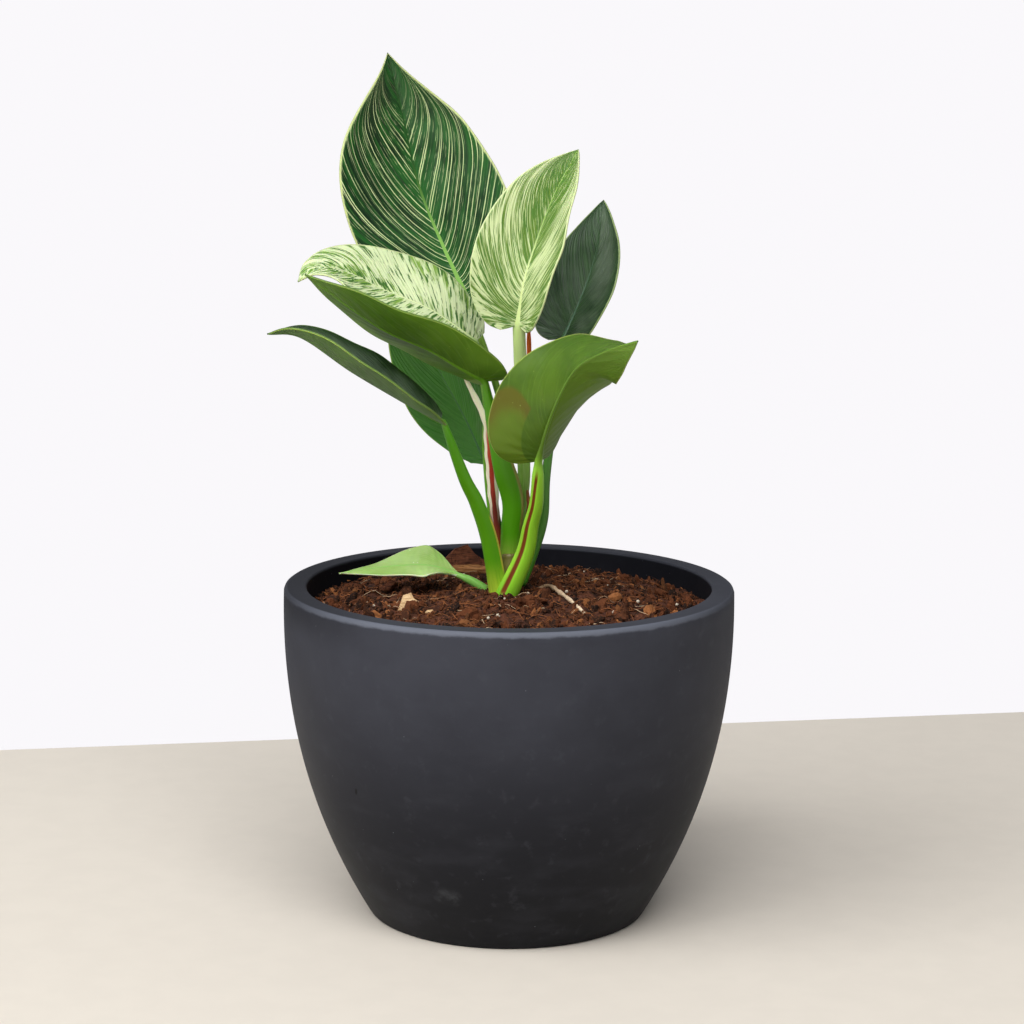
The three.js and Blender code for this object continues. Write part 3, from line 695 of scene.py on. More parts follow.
def build_fibres(material, pale):
    draw = random.Random(11)
    fibres, rootlets = Batch(), Batch()
    faces, _ = tube_faces(FIBRE_RINGS, FIBRE_SIDES)
    edge = inner_radius(SOIL_EDGE) - FIBRE_INSET
    for number in range(FIBRES):
        x, y = scatter_spot(draw, FIBRE_INSET)
        heading = draw.uniform(0, 2 * math.pi)
        length = draw.uniform(*FIBRE_LENGTH)
        control = []
        for k in range(FIBRE_POINTS):
            control.append((x, y, bed(x, y, FIBRE_BUMPS) + draw.uniform(*FIBRE_LIFT)))
            heading += draw.gauss(0, FIBRE_BEND)
            x += math.cos(heading) * length / (FIBRE_POINTS - 1)
            y += math.sin(heading) * length / (FIBRE_POINTS - 1)
            reach = math.hypot(x, y)
            if reach > edge:
                x, y = x * edge / reach, y * edge / reach - 0.01 * k
        t, centres, across, deep = frames_along(control, FIBRE_RINGS, -UP - 0.1 * AWAY)
        half = draw.uniform(*FIBRE_HALF) * (1 - 0.75 * np.abs(2 * t - 1) ** 3)
        points = tube_points(centres, across, deep, half, half, FIBRE_SIDES)
        batch = fibres if number % PALE_EVERY else rootlets
        batch.add(points, faces, (draw.random(), draw.random()))
    fibres.build("coir_fibres", material, "soil")
    rootlets.build("fine_roots", pale, "pale_wood")


def build_specks(material):
    draw = random.Random(23)
    batch = Batch()
    points, faces = unit_chunk(2)
    for _ in range(SPECKS):
        x, y = scatter_spot(draw, SPECK_INSET)
        reach = draw.uniform(*SPECK_SIZE)
        body = knobbly(draw, points, SPECK_KNOBS) * reach + np.array([x, y, bed(x, y) + SPECK_LIFT])
        batch.add(body, faces, (draw.random(), draw.random()))
    batch.build("perlite_specks", material, "soil")


CHIP_CUTS = 7
CHIP_GRAIN = 0.3  # depth, in millimetres and in half thicknesses: the smaller one holds
CHIP_TAPER = 0.08  # how much smaller its two faces are than its middle


def build_chip(name, chip, material):
    """A splintered flake: its outline cut into a fine grid, given thickness and a broken grain."""
    work = bmesh.new()
    half = chip["thickness"] / 2
    face = work.faces.new([work.verts.new((x, y, -half)) for x, y in chip["outline"]])
    grown = bmesh.ops.extrude_face_region(work, geom=[face])
    top = [v for v in grown["geom"] if isinstance(v, bmesh.types.BMVert)]
    bmesh.ops.translate(work, verts=top, vec=(0, 0, 2 * half))
    bmesh.ops.triangulate(work, faces=work.faces[:])
    bmesh.ops.subdivide_edges(work, edges=work.edges[:], cuts=CHIP_CUTS, use_grid_fill=True)
    bmesh.ops.recalc_face_normals(work, faces=work.faces[:])
    x, y, z = (Matrix.Rotation(math.radians(a), 3, axis) for a, axis in zip(chip["turn"], "XYZ"))
    turn = x @ y @ z
    at = Vector(chip["at"])
    reach = min(CHIP_GRAIN, half * CHIP_GRAIN)
    points = []
    for vertex in work.verts:
        p = vertex.co
        grain = noise.fractal(Vector((p.x * 0.25, p.y * 1.6, p.z * 1.2)), 0.8, 2.0, 4)
        shrink = 1 - CHIP_TAPER * abs(p.z / half)
        points.append(turn @ Vector((p.x * shrink, p.y * shrink, p.z + reach * 1.4 * grain)) + at)
    faces = [[v.index for v in f.verts] for f in work.faces]
    work.free()
    dress(add_object(f"{name}_fine", points, faces, [material], smooth=False), name)


ROOT_RINGS = 40
ROOT_SIDES = 12
ROOT_KNOTS = [(0.18, 29), (0.1, 71)]  # share of the radius, and radians over its length


def build_root(material):
    t, centres, across, deep = frames_along(ROOT["stalk"], ROOT_RINGS)
    half, depth = reach_along(ROOT, t)
    knots = sum((high * np.sin(t * turns) for high, turns in ROOT_KNOTS), 1)
    points = tube_points(centres, across, deep, half * knots, depth * knots, ROOT_SIDES)
    faces, uvs = tube_faces(ROOT_RINGS, ROOT_SIDES)
    dress(add_object("root_fine", points, faces, [material], uvs), "root")


# ---- pot and stem ----

POT_SIDES = 192
WALL_STEPS = 48
INNER_STEPS = 24
STEM_SIDES = 32
STEM_RINGS = 40
STEM_NODES = (0.15, 1.9)  # its own rings: how far they stand out, and radians per millimetre
STEM_TAPER = 0.35  # of its radius, at its two ends
UNDERSIDE = [(9, 0.6), (7.5, 0)]  # its hollow: in from the foot's radius, and height
RIM_CURVE = [(0.35, 0.55), (RIM_EDGE[0], 0.08), (1.6, 0)]  # in from the rim's radius, down from its top


def lathe(name, profile, sides, material):
    """A closed surface turned about Z; the profile runs from the axis back to the axis."""
    points = [(0, 0, profile[0][1])]
    for radius, height in profile[1:-1]:
        points += ring(radius, height, sides)
    points.append((0, 0, profile[-1][1]))
    faces = []
    last = len(points) - 1 - sides
    for i in range(sides):
        n = (i + 1) % sides
        faces.append([0, 1 + n, 1 + i])
        for low in range(1, last, sides):
            high = low + sides
            faces.append([low + i, low + n, high + n, high + i])
        faces.append([last + i, last + n, len(points) - 1])
    return add_object(name, points, faces, [material])


def arc(x, y, radius, start, end, steps):
    angles = np.radians(np.linspace(start, end, steps + 1))
    return [(x + radius * math.cos(a), y + radius * math.sin(a)) for a in angles]


def build_pot(material):
    profile = [(0, UNDERSIDE[0][1])] + [(FOOT_RADIUS - x, z) for x, z in UNDERSIDE]
    profile += arc(FOOT_RADIUS - FOOT_ROUND * 0.6, FOOT_ROUND, FOOT_ROUND, -90, -35, 5)
    first, last = FOOT_ROUND * 1.3 / POT_HEIGHT, 1 - RIM_EDGE[1] / POT_HEIGHT
    profile += [tuple(wall_point(np.array(t))) for t in np.linspace(first, last, WALL_STEPS)]
    profile += [(RIM_RADIUS - x, POT_HEIGHT - z) for x, z in RIM_CURVE]
    lip = RIM_RADIUS - WALL + RIM_LIP
    profile += [(lip + 0.3, POT_HEIGHT)] + arc(lip, POT_HEIGHT - RIM_LIP, RIM_LIP, 90, 180, 4)
    heights = np.linspace(POT_HEIGHT - 2 * RIM_LIP, FLOOR, INNER_STEPS)
    profile += [(inner_radius(h), h) for h in heights] + [(0, FLOOR)]
    dress(lathe("pot_fine", profile, POT_SIDES, material), "pot")


def build_stem(material):
    foot, top, radius = STEM["foot"], STEM["top"], STEM["radius"]
    high, turns = STEM_NODES
    profile = [(0, foot)]
    for t in np.linspace(0.02, 0.98, STEM_RINGS):
        height = mix(foot, top, t)
        taper = 1 - STEM_TAPER * smooth_step(0.82, 1.0, t) - STEM_TAPER * (1 - smooth_step(0, 0.12, t))
        profile.append((radius * taper + high * math.cos(height * turns), height))
    profile.append((0, top))
    dress(lathe("stem_fine", profile, STEM_SIDES, material), "stem")


# ---- materials ----

def linear(code):
    """The linear light of a colour as a screen shows it, such as "#D0E0A4"."""
    shown = [int(code[k:k + 2], 16) / 255 for k in (1, 3, 5)]
    return (*(c / 12.92 if c <= 0.04045 else ((c + 0.055) / 1.055) ** 2.4 for c in shown), 1)


class Value:
    """What a node works out at each point: + - * and the calls below add nodes to it."""

    def __init__(self, looks, socket):
        self.looks = looks
        self.socket = socket

    def __add__(self, other):
        return self.looks.math("ADD", self, other)

    def __sub__(self, other):
        return self.looks.math("SUBTRACT", self, other)

    def __mul__(self, other):
        return self.looks.math("MULTIPLY", self, other)

    def __abs__(self):
        return self.looks.math("ABSOLUTE", self)

    def step(self, low, high, bottom=0, top=1):
        """A smooth step from bottom to top while this value goes from low to high."""
        inputs = {"Value": self, "From Min": low, "From Max": high, "To Min": bottom, "To Max": top}
        return self.looks.node("MapRange", inputs, interpolation_type="SMOOTHSTEP")

    def fall(self, low, high):
        return self.step(low, high, 1, 0)


class Looks:
    """A material that starts as one colour and is painted over, layer by layer."""

    def __init__(self, name, tone, roughness, specular):
        self.material = bpy.data.materials.new(name)
        self.material.use_nodes = True
        self.tree = self.material.node_tree
        self.shader = self.tree.nodes["Principled BSDF"]
        self.tone = tone
        self.set("Roughness", roughness)
        self.set("Specular IOR Level", specular)
        self.place = self.node("TexCoord", {}, "Object")  # in metres

    def feed(self, socket, value):
        if isinstance(value, Value):
            self.tree.links.new(value.socket, socket)
        else:
            socket.default_value = linear(value) if isinstance(value, str) else value

    def set(self, name, value):
        self.feed(self.shader.inputs[name], value)

    def node(self, kind, inputs, output=0, **settings):
        made = self.tree.nodes.new("ShaderNode" + kind)
        for key, value in settings.items():
            setattr(made, key, value)
        for key, value in inputs.items():
            self.feed(made.inputs[key], value)
        return Value(self, made.outputs[output])

    def math(self, operation, *values):
        return self.node("Math", dict(enumerate(values)), operation=operation)

    def split(self, vector):
        return [self.node("SeparateXYZ", {0: vector}, k) for k in range(3)]

    def uv(self):
        return self.split(self.node("TexCoord", {}, "UV"))[:2]

    def stretched(self, scale):
        return self.node("Mapping", {"Vector": self.place, "Scale": scale})

    def noise(self, at, scale=1, detail=4, rough=0.55):
        """Noise at a vector, or at three values."""
        if isinstance(at, tuple):
            at = self.node("CombineXYZ", dict(enumerate(at)))
        return self.node("TexNoise", {"Vector": at, "Scale": scale, "Detail": detail, "Roughness": rough})

    def grain(self, *settings):
        return self.noise(self.place, *settings)

    def cells(self, scale):
        return self.node("TexVoronoi", {"Vector": self.place, "Scale": scale}, "Distance")

    def lines(self, value, scale):
        """Distance to scattered points of a line, one number wide."""
        inputs = {"W": value, "Scale": scale, "Randomness": 0.9}
        return self.node("TexVoronoi", inputs, "Distance", voronoi_dimensions="1D")

    def blend(self, factor, a, b):
        return self.node("Mix", {0: factor, 6: a, 7: b}, 2, data_type="RGBA")

    def paint(self, colour, cover):
        self.tone = self.blend(cover, self.tone, colour)

    def finish(self, height, distance, strength, glow=0, radius=(0.5, 1, 0.15), scale=0.0015):
        """The bump, and the light that shines through, as in a leaf unless it says how."""
        self.set("Base Color", self.tone)
        bump = {"Height": height, "Distance": distance, "Strength": strength}
        self.set("Normal", self.node("Bump", bump))
        if glow:
            self.set("Subsurface Weight", glow)
            self.set("Subsurface Radius", radius)
            self.set("Subsurface Scale", scale)
        return self.material


HALF_SHIFT = 0.113  # sets the pattern of one half of a leaf off from the other
EDGE_LINE = (0.985, 1.005)  # where a leaf's pale margin starts, from midrib to margin


def leaf_coordinates(looks):
    """s along the veins' feet, r from midrib to margin, and -1 or 1 for the half."""
    s, v = looks.uv()
    signed = v * 2 - 1
    return s, abs(signed), looks.math("SIGN", signed)


def swaying(looks, s, r, half, wave, out, amount):
    """s with a slow sway and the half's own shift, along which stripes and streaks are drawn."""
    return s + looks.noise((s * wave, r * out, half)) * amount + half * HALF_SHIFT


def striped_leaf(name, deep, fresh, line, margin, lines=1, rib_glow=0.6, painted_sheen=None, roughness=0.38):
    """The dark upper side: cream pinstripes along its veins, a pale margin, and a painted sheen, stronger
    on one half.
    """
    looks = Looks(name, deep, roughness, 0.35)
    s, r, half = leaf_coordinates(looks)
    shifted = swaying(looks, s, r, half, 7, 2.4, 0.012)
    wide = looks.lines(shifted, 25)
    patch = looks.noise((shifted * 24, r * 2.2, half), detail=2)
    major = wide.fall(0.03, 0.085) * patch.step(0.34, 0.58, 0.3, 1)
    fine = looks.lines(shifted, 75)
    dash = looks.noise((shifted * 110, r * 7, half), detail=2)
    minor = fine.fall(0.03, 0.14) * dash.step(0.48, 0.62, 0.03, 0.6)
    streaks = looks.noise((shifted * 46, r * 2, half))
    mottle = looks.grain(60, 3)
    looks.paint(fresh, (streaks + mottle * 0.6).step(0.62, 0.98))
    looks.paint(fresh, r.step(0, 0.3, rib_glow, 0))
    if painted_sheen:
        # painted sheen: a lighter patch between midrib and margin where light catches the blade, stronger
        # on one half
        sheen_mask = mottle.step(0.35, 0.62) * r.step(0.05, 0.4) * r.fall(0.7, 1)
        looks.paint(painted_sheen, sheen_mask * half.step(-1, 1, 0.08, 0.4))
    looks.paint(line, looks.math("MAXIMUM", major, minor) * s.step(0.78, 0.88, lines, lines * 0.1))
    looks.paint(margin, (dash * 0.02 + r).step(*EDGE_LINE))
    looks.set("Roughness", mottle * 0.2 + (roughness - 0.1))
    return looks.finish(wide.fall(0, 0.5) + fine.fall(0, 0.5) * 0.5, 0.00022, 0.6, glow=0.06)


def marbled_leaf(name, cream, green, dark, margin, cover, dashes, tip, size):
    """A cream upper side with green streaks that follow the veins, greener towards the tip."""
    looks = Looks(name, cream, 0.42, 0.35)
    s, r, half = leaf_coordinates(looks)
    shifted = swaying(looks, s, r, half, 6, 2, 0.014)
    streak = looks.noise((shifted * (48 / size), r * 1.7, half), detail=5, rough=0.62)
    short = looks.noise((shifted * (100 / size), r * (3.4 / size), half), detail=3)
    fine = looks.lines(shifted, 64 / size)
    broad = looks.noise((s * 3, r * 1.4, half), detail=1)
    lean = broad * 0.35 - 0.175 + s.step(0.4, 0.95, 0, tip)
    looks.paint(green, (streak + lean).step(cover - 0.05, cover + 0.08))
    looks.paint(cream, fine.fall(0.06, 0.2) * short.step(0.35, 0.6, 0.75, 0.2))
    looks.paint(dark, (lean * 0.5 + short).step(dashes, dashes + 0.05))
    looks.paint(margin, (short * 0.02 + r).step(*EDGE_LINE))
    return looks.finish(streak + fine.step(0, 0.5, 0.6, 0), 0.00022, 0.5, glow=0.1)


def leaf_underside(name, base, light, vein, margin, patch=None, veins=0.35, roughness=0.4):
    """The plain green lower side, with faint veins; patch adds painted shade, a brown-olive patch on the
    right half, and painted light that makes the other half lighter.
    """
    looks = Looks(name, base, roughness, 0.2)
    s, r, half = leaf_coordinates(looks)
    shifted = s + half * HALF_SHIFT
    wide = looks.lines(shifted, 20)
    fine = looks.noise((shifted * 90, r * 3, half), detail=3)
    mottle = looks.grain(45)
    looks.paint(light, mottle.step(0.35, 0.68))
    looks.paint(vein, wide.fall(0.02, 0.16) * veins * fine.step(0.42, 0.6))
    if patch:
        # painted shade: a brown-olive patch where less light comes through the blade
        inside = r * -patch["fall"] + patch["top"] + (mottle * 0.05 - 0.025) - s
        shade_patch = inside.step(0, 0.02) * half.step(0, 0.5) * r.step(patch["inner"], patch["inner"] + 0.04)
        deep = mottle * inside.step(0, 0.16, 1.3, 0.55)
        # painted light: the other half is painted lighter where it is turned from the light
        looks.paint(patch["other"], half.step(-0.5, 0.5, 0.75, 0))
        looks.paint(looks.blend(deep.step(0.3, 0.6), patch["light"], patch["dark"]), shade_patch * 0.9)
    dots = looks.cells(420).fall(0.1, 0.16) * looks.grain(260, 1).step(0.62, 0.66)
    looks.paint(margin, dots * 0.6)
    looks.paint(margin, (fine * 0.015 + r).step(0.985, 1))
    return looks.finish(wide.fall(0, 0.5) + fine * 0.3, 0.00012, 0.3, glow=0.35)


def stalk_skin(name, foot, middle, top, rib, tip=None, stripe=None, side=None):
    """A glossy stalk: colour from foot to top, then the midrib's own. The groove's stripe and the
    tinted side say where round the stalk, how wide, from where to where along it, and the colour."""
    looks = Looks(name, foot, 0.32, 0.3)
    along, turn = looks.uv()
    lengthwise = looks.noise((along * 5, turn * 26, 0), detail=3)
    looks.paint(middle, along.step(0.02, 0.22))
    looks.paint(top, along.step(0.45, 0.95))
    looks.paint(top, lengthwise.step(0.45, 0.7) * 0.35)
    for mark, core, rise, drop in ((side, 0.6, 0.06, 0.06), (stripe, 0.5, 0.05, 0.1)):
        if mark:
            at, width, start, end, colour = mark
            window = along.step(start, start + rise) * along.fall(end - drop, end)
            looks.paint(colour, abs(turn - at).fall(width * core, width) * window)
    looks.paint(rib, along.step(0.93, 1.08))
    if tip:
        looks.paint(tip, along.step(1.2, 1.62))
    return looks.finish(lengthwise, 0.00025, 0.4, glow=0.12)


def papery(name, stops, edge=None):
    """A dry sheath: colours along its length, streaked; edge is the colour of its two sides."""
    looks = Looks(name, stops[0][1], 0.6, 0.3)
    along, turn = looks.uv()
    streak = looks.noise((along * 6, turn * 18, 0))
    where = streak * 0.16 + (along - 0.08)
    for (low, _), (high, colour) in zip(stops, stops[1:]):
        looks.paint(colour, where.step(low, high))
    if edge:
        aside = abs(looks.math("COSINE", turn * (2 * math.pi)))
        looks.paint(edge, (streak * 0.5 + aside).step(0.62, 0.8) * where.step(0.16, 0.34))
    return looks.finish(streak, 0.0003, 0.7, glow=0.1, radius=(1, 0.3, 0.1), scale=0.001)


def coir():
    looks = Looks("coir", "#22130D", 0.92, 0.25)
    grain = looks.grain(900, 4, 0.6)
    looks.paint("#583222", looks.grain(120, 5, 0.65).step(0.32, 0.62))
    looks.paint("#8A583C", grain.step(0.55, 0.75))
    return looks.finish(grain, 0.0006, 0.9)


def crumb_skin():
    """Crumbs differ one from the next by their own UV point."""
    looks = Looks("coir_crumbs", "#1E1009", 0.92, 0.25)
    own, other = looks.uv()
    grain = looks.grain(1300, 4, 0.6)
    looks.paint("#5C321A", own.step(0.1, 0.75))
    looks.paint("#925C34", other.step(0.84, 0.98))
    looks.paint("#724224", grain.step(0.5, 0.75))
    return looks.finish(grain, 0.0005, 0.9)


def fibre_skin(name, dark, light):
    looks = Looks(name, dark, 0.8, 0.3)
    grain = looks.grain(700, 3)
    looks.paint(light, looks.uv()[0])
    looks.paint(dark, grain.step(0.4, 0.7, 0, 0.5))
    return looks.finish(grain, 0.0002, 0.6)


def wood_skin(name, dark, light):
    looks = Looks(name, dark, 0.85, 0.25)
    grain = looks.noise(looks.stretched((0.3, 1, 2.4)), 640, 5, 0.6)
    looks.paint(light, grain.step(0.35, 0.65))
    looks.paint(dark, looks.grain(160, 3).step(0.5, 0.75, 0, 0.6))
    return looks.finish(grain, 0.0005, 0.8)


# On the front wall, in metres: x, height, and half sizes.
SCUFF = (-0.022, 0.024, 0.0064, 0.0055)
NICK = (-0.058, 0.064, 0.0006, 0.0017)


def radius_of(looks, x, y):
    return looks.math("SQRT", x * x + y * y)


def spot(looks, place, x, height, y):
    """1 at the middle of an oval place on the front wall, 0 from its edge outwards."""
    at_x, at_height, half_x, half_height = place
    away = radius_of(looks, (x - at_x) * (1 / half_x), (height - at_height) * (1 / half_height))
    return away.fall(0.5, 1) * y.fall(-0.02, 0)


def glazed_pot():
    """Satin charcoal: faint brush marks, a scuff, a nick and tiny specks; painted shade towards the foot,
    inside and on the rim's left; painted sheen in faint clouds high on the wall; a painted highlight on
    the rim's outer edge.
    """
    looks = Looks("charcoal_glaze", "#14151A", 0.6, 0.12)
    x, y, height = looks.split(looks.place)
    radius = radius_of(looks, x, y)
    clouds = looks.grain(16, 5, 0.62)
    fine = looks.grain(170, 4, 0.6)
    streaks = looks.noise(looks.stretched((1, 1, 2.5)), 38, 5)
    # painted shade: the glaze is painted darker towards the foot
    looks.paint("#2B2C33", height.step(0, 0.11))
    # painted sheen: lighter clouds high on the wall
    looks.paint("#44464F", height.step(0.05, 0.115) * clouds.step(0.3, 0.7, 0.35, 1) * 0.55)
    looks.paint("#44464E", streaks.step(0.45, 0.75, 0, 0.16))
    looks.paint("#4E5058", fine.step(0.55, 0.8, 0, 0.2))
    # painted shade inside the pot below the lip, which also reflects less there
    inner = radius.step(0.0815, 0.0822, 0.7, 0) * height.step(0.105, 0.115)
    inside = inner * height.fall(0.1322, 0.133)
    looks.paint("#08070A", inside)
    # painted shade on the left part of the rim
    looks.paint("#16161B", x.step(-0.089, -0.045, 0.6, 0) * height.step(0.118, 0.131))
    # painted highlight along the rim's outer edge, brightest at the front
    edge = radius.step(0.0884, 0.089) * (fine * 0.0016 + height).step(0.1318, 0.133)
    looks.paint("#646873", edge * y.step(-0.088, -0.02, 0.9, 0.12))
    looks.paint("#484A4E", spot(looks, SCUFF, x, height, y) * fine.step(0.4, 0.62, 0.04, 0.4))
    looks.paint("#0E0E10", spot(looks, NICK, x, height, y))
    specks = looks.cells(260).fall(0.03, 0.07) * looks.grain(90, 1).step(0.6, 0.64)
    looks.paint("#8C8E96", specks * 0.4)
    looks.set("Roughness", clouds * 0.16 + 0.46)
    looks.set("Specular IOR Level", inside * -0.11 + 0.12)
    return looks.finish(fine, 0.00012, 0.35)


def plain(name, colour, roughness, grain, spread):
    darker = tuple(c * (1 - spread) for c in linear(colour)[:3]) + (1,)
    looks = Looks(name, darker, roughness, 0.3)
    fine = looks.grain(grain, 3)
    looks.paint(colour, fine.step(0.35, 0.65))
    return looks.finish(fine, 0.0002, 0.3)


def glowing(name, colour):
    """An evenly bright wall."""
    looks = Looks(name, "#000000", 1, 0)
    looks.set("Base Color", looks.tone)
    looks.set("Emission Color", colour)
    looks.set("Emission Strength", 1)
    return looks.material


# ---- the scene ----

CAMERA_AT = (0.0009, -1.0217, 0.34315)
CAMERA_PITCH = 10.01  # degrees down from level
CAMERA_ROLL = 0.45
CAMERA_LENS = 91.4
CAMERA_SENSOR = 36
CAMERA_SEES = (0.02, 50)  # metres, nearest and farthest
TABLE_BACK = [(-0.2526, 0.23), (0.2741, 0.3225)]  # two points of the table's far edge
TABLE_REACH = 2.5
TABLE_THICKNESS = 0.03
ROOM_RADIUS = 6  # metres
ROOM_COLOUR = (0.955, 0.94, 0.965, 1)
SKY_COLOUR = (0.95, 0.96, 1.0, 1)
SKY_STRENGTH = 0.26
LIGHTS = [  # name, place, size, watts; all of them face the pot
    ("key", (-1.3, -0.9, 1.5), (1.4, 1.4), 31),
    ("front", (0.1, -1.5, 2.3), (1.8, 1.4), 51),
]
LIT_POINT = (0, 0, 0.1)


def build_camera():
    data = bpy.data.cameras.new("camera")
    data.lens = CAMERA_LENS
    data.sensor_width = CAMERA_SENSOR
    data.clip_start, data.clip_end = CAMERA_SEES
    camera = add_to_scene("camera", data)
    pitch = Matrix.Rotation(math.radians(90 - CAMERA_PITCH), 4, "X")
    roll = Matrix.Rotation(math.radians(CAMERA_ROLL), 4, "Z")
    camera.matrix_world = Matrix.Translation(CAMERA_AT) @ pitch @ roll
    bpy.context.scene.camera = camera


def build_stage():
    """A table top that ends behind the pot, and a bright backdrop that only the camera sees."""
    (x0, y0), (x1, y1) = TABLE_BACK
    slope = (y1 - y0) / (x1 - x0)
    left, right = -TABLE_REACH, TABLE_REACH
    corners = [(left, left), (right, left), (right, y0 + slope * (right - x0)),
               (left, y0 + slope * (left - x0))]
    points = [(x / MM, y / MM, z / MM) for z in (0, -TABLE_THICKNESS) for x, y in corners]
    faces = [[0, 1, 2, 3], [7, 6, 5, 4], [0, 4, 5, 1], [1, 5, 6, 2], [2, 6, 7, 3], [3, 7, 4, 0]]
    top = plain("table_top", "#DED6CA", 0.6, 60, 0.02)
    table = add_object("table", points, faces, [top], smooth=False)
    points, faces = unit_chunk(4)
    room = add_object("room", points * ROOM_RADIUS / MM, faces, [glowing("room_wall", ROOM_COLOUR)])
    for ray in ("diffuse", "glossy", "transmission", "shadow"):
        setattr(room, "visible_" + ray, False)


def build_lights():
    bpy.context.scene.view_settings.view_transform = "Standard"
    world = bpy.data.worlds.new("studio")
    bpy.context.scene.world = world
    world.use_nodes = True
    background = world.node_tree.nodes["Background"]
    background.inputs["Color"].default_value = SKY_COLOUR
    background.inputs["Strength"].default_value = SKY_STRENGTH
    for name, at, size, watts in LIGHTS:
        data = bpy.data.lights.new(name, "AREA")
        data.shape = "RECTANGLE"
        data.size, data.size_y = size
        data.energy = watts
        light = add_to_scene(name, data)
        light.location = at
        light.rotation_euler = (Vector(LIT_POINT) - Vector(at)).to_track_quat("-Z", "Y").to_euler()


def build_blades():
    cream_line = "#D0E0A4"
    striped = striped_leaf(
        "striped_upper", "#06280A", "#185818", cream_line, "#C4D08C", rib_glow=0.9, painted_sheen="#3C623C")
    quiet = striped_leaf("quiet_upper", "#1C361A", "#305228", "#607C5A", "#96AA6E",
                         lines=0.1, rib_glow=0.4, painted_sheen="#848E80", roughness=0.34)
    inner = striped_leaf("inner_upper", "#3A7626", "#46822E", "#6E9660", "#96B050",
                         lines=0.06, painted_sheen="#5A7050", roughness=0.36)
    boat = striped_leaf("boat_upper", "#182C16", "#2A4422", "#5A704C", "#64803A",
                        lines=0.1, painted_sheen="#707E6E", roughness=0.34)
    shaded = striped_leaf("shaded_upper", "#143410", "#28581E", cream_line, "#607E32", rib_glow=0.9)
    marbled = marbled_leaf("marbled_upper", "#CCD9A2", "#60812A", "#4E782C", "#CEDAA0",
                           cover=0.49, dashes=0.54, tip=0.15, size=1)
    marbled_low = marbled_leaf("marbled_low", "#D6E3B2", "#7CA142", "#426E2A", "#CEDAA0",
                               cover=0.54, dashes=0.54, tip=0.03, size=1.3)
    young = leaf_underside("young_upper", "#8CB058", "#A8C87A", "#CEE0A0", "#DCE8BE",
                           veins=0.2, roughness=0.45)
    young_under = leaf_underside("young_under", "#78AA46", "#96C062", "#C4E096", "#DCE8BE", veins=0.2)
    under = leaf_underside("under_green", "#547C1E", "#68922A", "#84A842", "#96AA50")
    under_dark = leaf_underside("under_dark", "#3A5A20", "#50742C", "#749446", "#B4CA5A")
    # leaf 8's painted shade patch, and the lighter colour of its other half as painted light
    shade_patch = dict(inner=0.34, top=0.495, fall=0.375, light="#627C24", dark="#646020", other="#688A30")
    under_front = leaf_underside("under_front", "#42601A", "#547222", "#6C8E36", "#96A854",
                                 patch=shade_patch, veins=0.25)
    looks = {
        "leaf_1": (striped, under, "dark_blade"),
        "leaf_2": (marbled, marbled_low, "cream_blade"),
        "leaf_3": (marbled_low, marbled_low, "cream_blade"),
        "leaf_4": (quiet, under, "dark_blade"),
        "leaf_5": (shaded, under, "under_blade"),
        "leaf_6": (boat, under_dark, "under_blade"),
        "leaf_7": (inner, under, "dark_blade"),
        "leaf_8": (shaded, under_front, "under_blade"),
        "leaf_9": (young, young_under, "pale_blade"),
    }
    for number, (name, (upper, lower, slot)) in enumerate(looks.items()):
        build_blade(name, LEAVES[name], upper, lower, number)


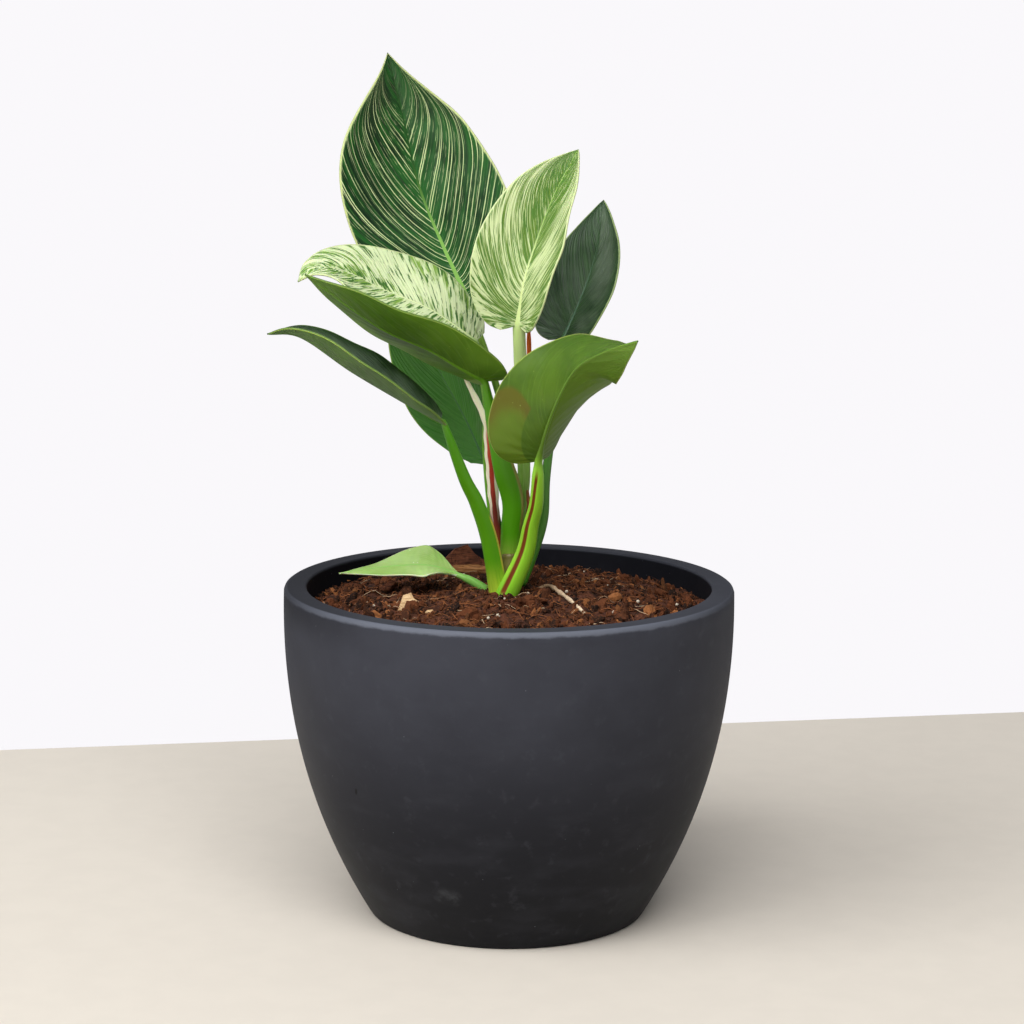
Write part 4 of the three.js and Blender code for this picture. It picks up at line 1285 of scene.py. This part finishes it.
def build_stalks():
    leaf_green = "#64A418"
    deep_green = "#468610"
    yellow = "#B0C854"
    skins = {
        "leaf_1": stalk_skin("stalk_1", leaf_green, leaf_green, "#96BE50", "#84B654", tip="#1E4A18"),
        "leaf_2": stalk_skin("stalk_2", leaf_green, "#82B046", "#C4DA8C", "#C8D892", tip="#86AA4E"),
        "leaf_3": stalk_skin("stalk_3", leaf_green, leaf_green, "#96C45A", "#D6E4A8",
                             side=(0.98, 0.07, 0.1, 0.95, yellow)),
        "leaf_4": stalk_skin("stalk_4", "#509628", "#548C36", "#467438", "#42684C"),
        "leaf_5": stalk_skin("stalk_5", yellow, "#549C10", "#589C14", "#6EA424",
                             side=(0.99, 0.1, 0.2, 0.75, "#969642")),
        "leaf_6": stalk_skin("stalk_6", "#B2C83C", "#589A14", "#509612", "#688E38",
                             side=(0.95, 0.05, 0.1, 0.45, "#C4B446")),
        "leaf_7": stalk_skin("stalk_7", leaf_green, deep_green, deep_green, "#3C683C"),
        "leaf_8": stalk_skin("stalk_8", "#78BA28", "#96D234", "#96D238", "#648830",
                             stripe=(0.66, 0.055, 0.02, 0.98, "#763816")),
        "leaf_9": stalk_skin("stalk_9", "#6EA846", "#78B250", "#82BA58", "#8CC060"),
    }
    sections = {
        "leaf_8": grooved((238, 16, 0.16, 0, 1), (200, 20, -0.12, 0, 0.6)),
        "leaf_6": grooved((340, 16, -0.1, 0, 0.5), (300, 22, 0.07, 0, 0.8)),
        "leaf_5": grooved((300, 18, 0.06, 0, 0.8), (0, 14, -0.08, 0.1, 0.7)),
        "leaf_3": grooved((290, 26, 0.1, 0.1, 1)),
        "leaf_2": grooved((270, 26, 0.06, 0.3, 1)),
    }
    for name, skin in skins.items():
        build_petiole(name, LEAVES[name], skin, sections.get(name))


def build_sheaths():
    papers = {
        "sheath_red": papery("paper_red", [(0, "#C46228"), (0.2, "#6E2214"), (0.45, "#B23422"),
                                           (0.62, "#C44A2C"), (0.74, "#FCF6D0")], edge="#FEF6DA"),
        "sheath_orange": papery("paper_orange", [(0, "#606E32"), (0.5, "#786E32"), (0.93, "#D66424")]),
        "sheath_brown": papery("paper_brown", [(0, "#783C1C"), (0.6, "#74321A"), (1, "#965A32")]),
    }
    for name, paper in papers.items():
        build_sheath(name, SHEATHS[name], paper)


def build_chips():
    bark = wood_skin("bark", "#462618", "#76442C")
    strip = wood_skin("bark_light", "#7A4E2C", "#B27E4E")
    pale_wood = wood_skin("pale_wood", "#B08A60", "#DEBE92")
    chip_skins = {
        "bark_chip": (bark, "bark"), "bark_strip": (strip, "bark"), "dark_chip": (bark, "bark"),
        "wood_chip": (pale_wood, "pale_wood"), "small_chip": (pale_wood, "pale_wood"),
    }
    for name, (skin, slot) in chip_skins.items():
        build_chip(name, CHIPS[name], skin)


def main():
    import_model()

    build_camera()
    build_stage()
    build_lights()
    build_blades()
    build_stalks()
    build_sheaths()
    build_chips()
    build_root(fibre_skin("root_skin", "#967658", "#E4CEB0"))
    build_soil(coir())
    build_crumbs(crumb_skin())
    build_fibres(fibre_skin("coir_fibre", "#321A0F", "#985C34"),
                 fibre_skin("fine_root", "#967658", "#D6BE9E"))
    build_specks(plain("perlite", "#CEC0AC", 0.8, 900, 0.06))
    build_stem(stalk_skin("stem_skin", "#786E3C", "#6E823C", "#5A8232", "#5A8232"))
    build_pot(glazed_pot())


main()
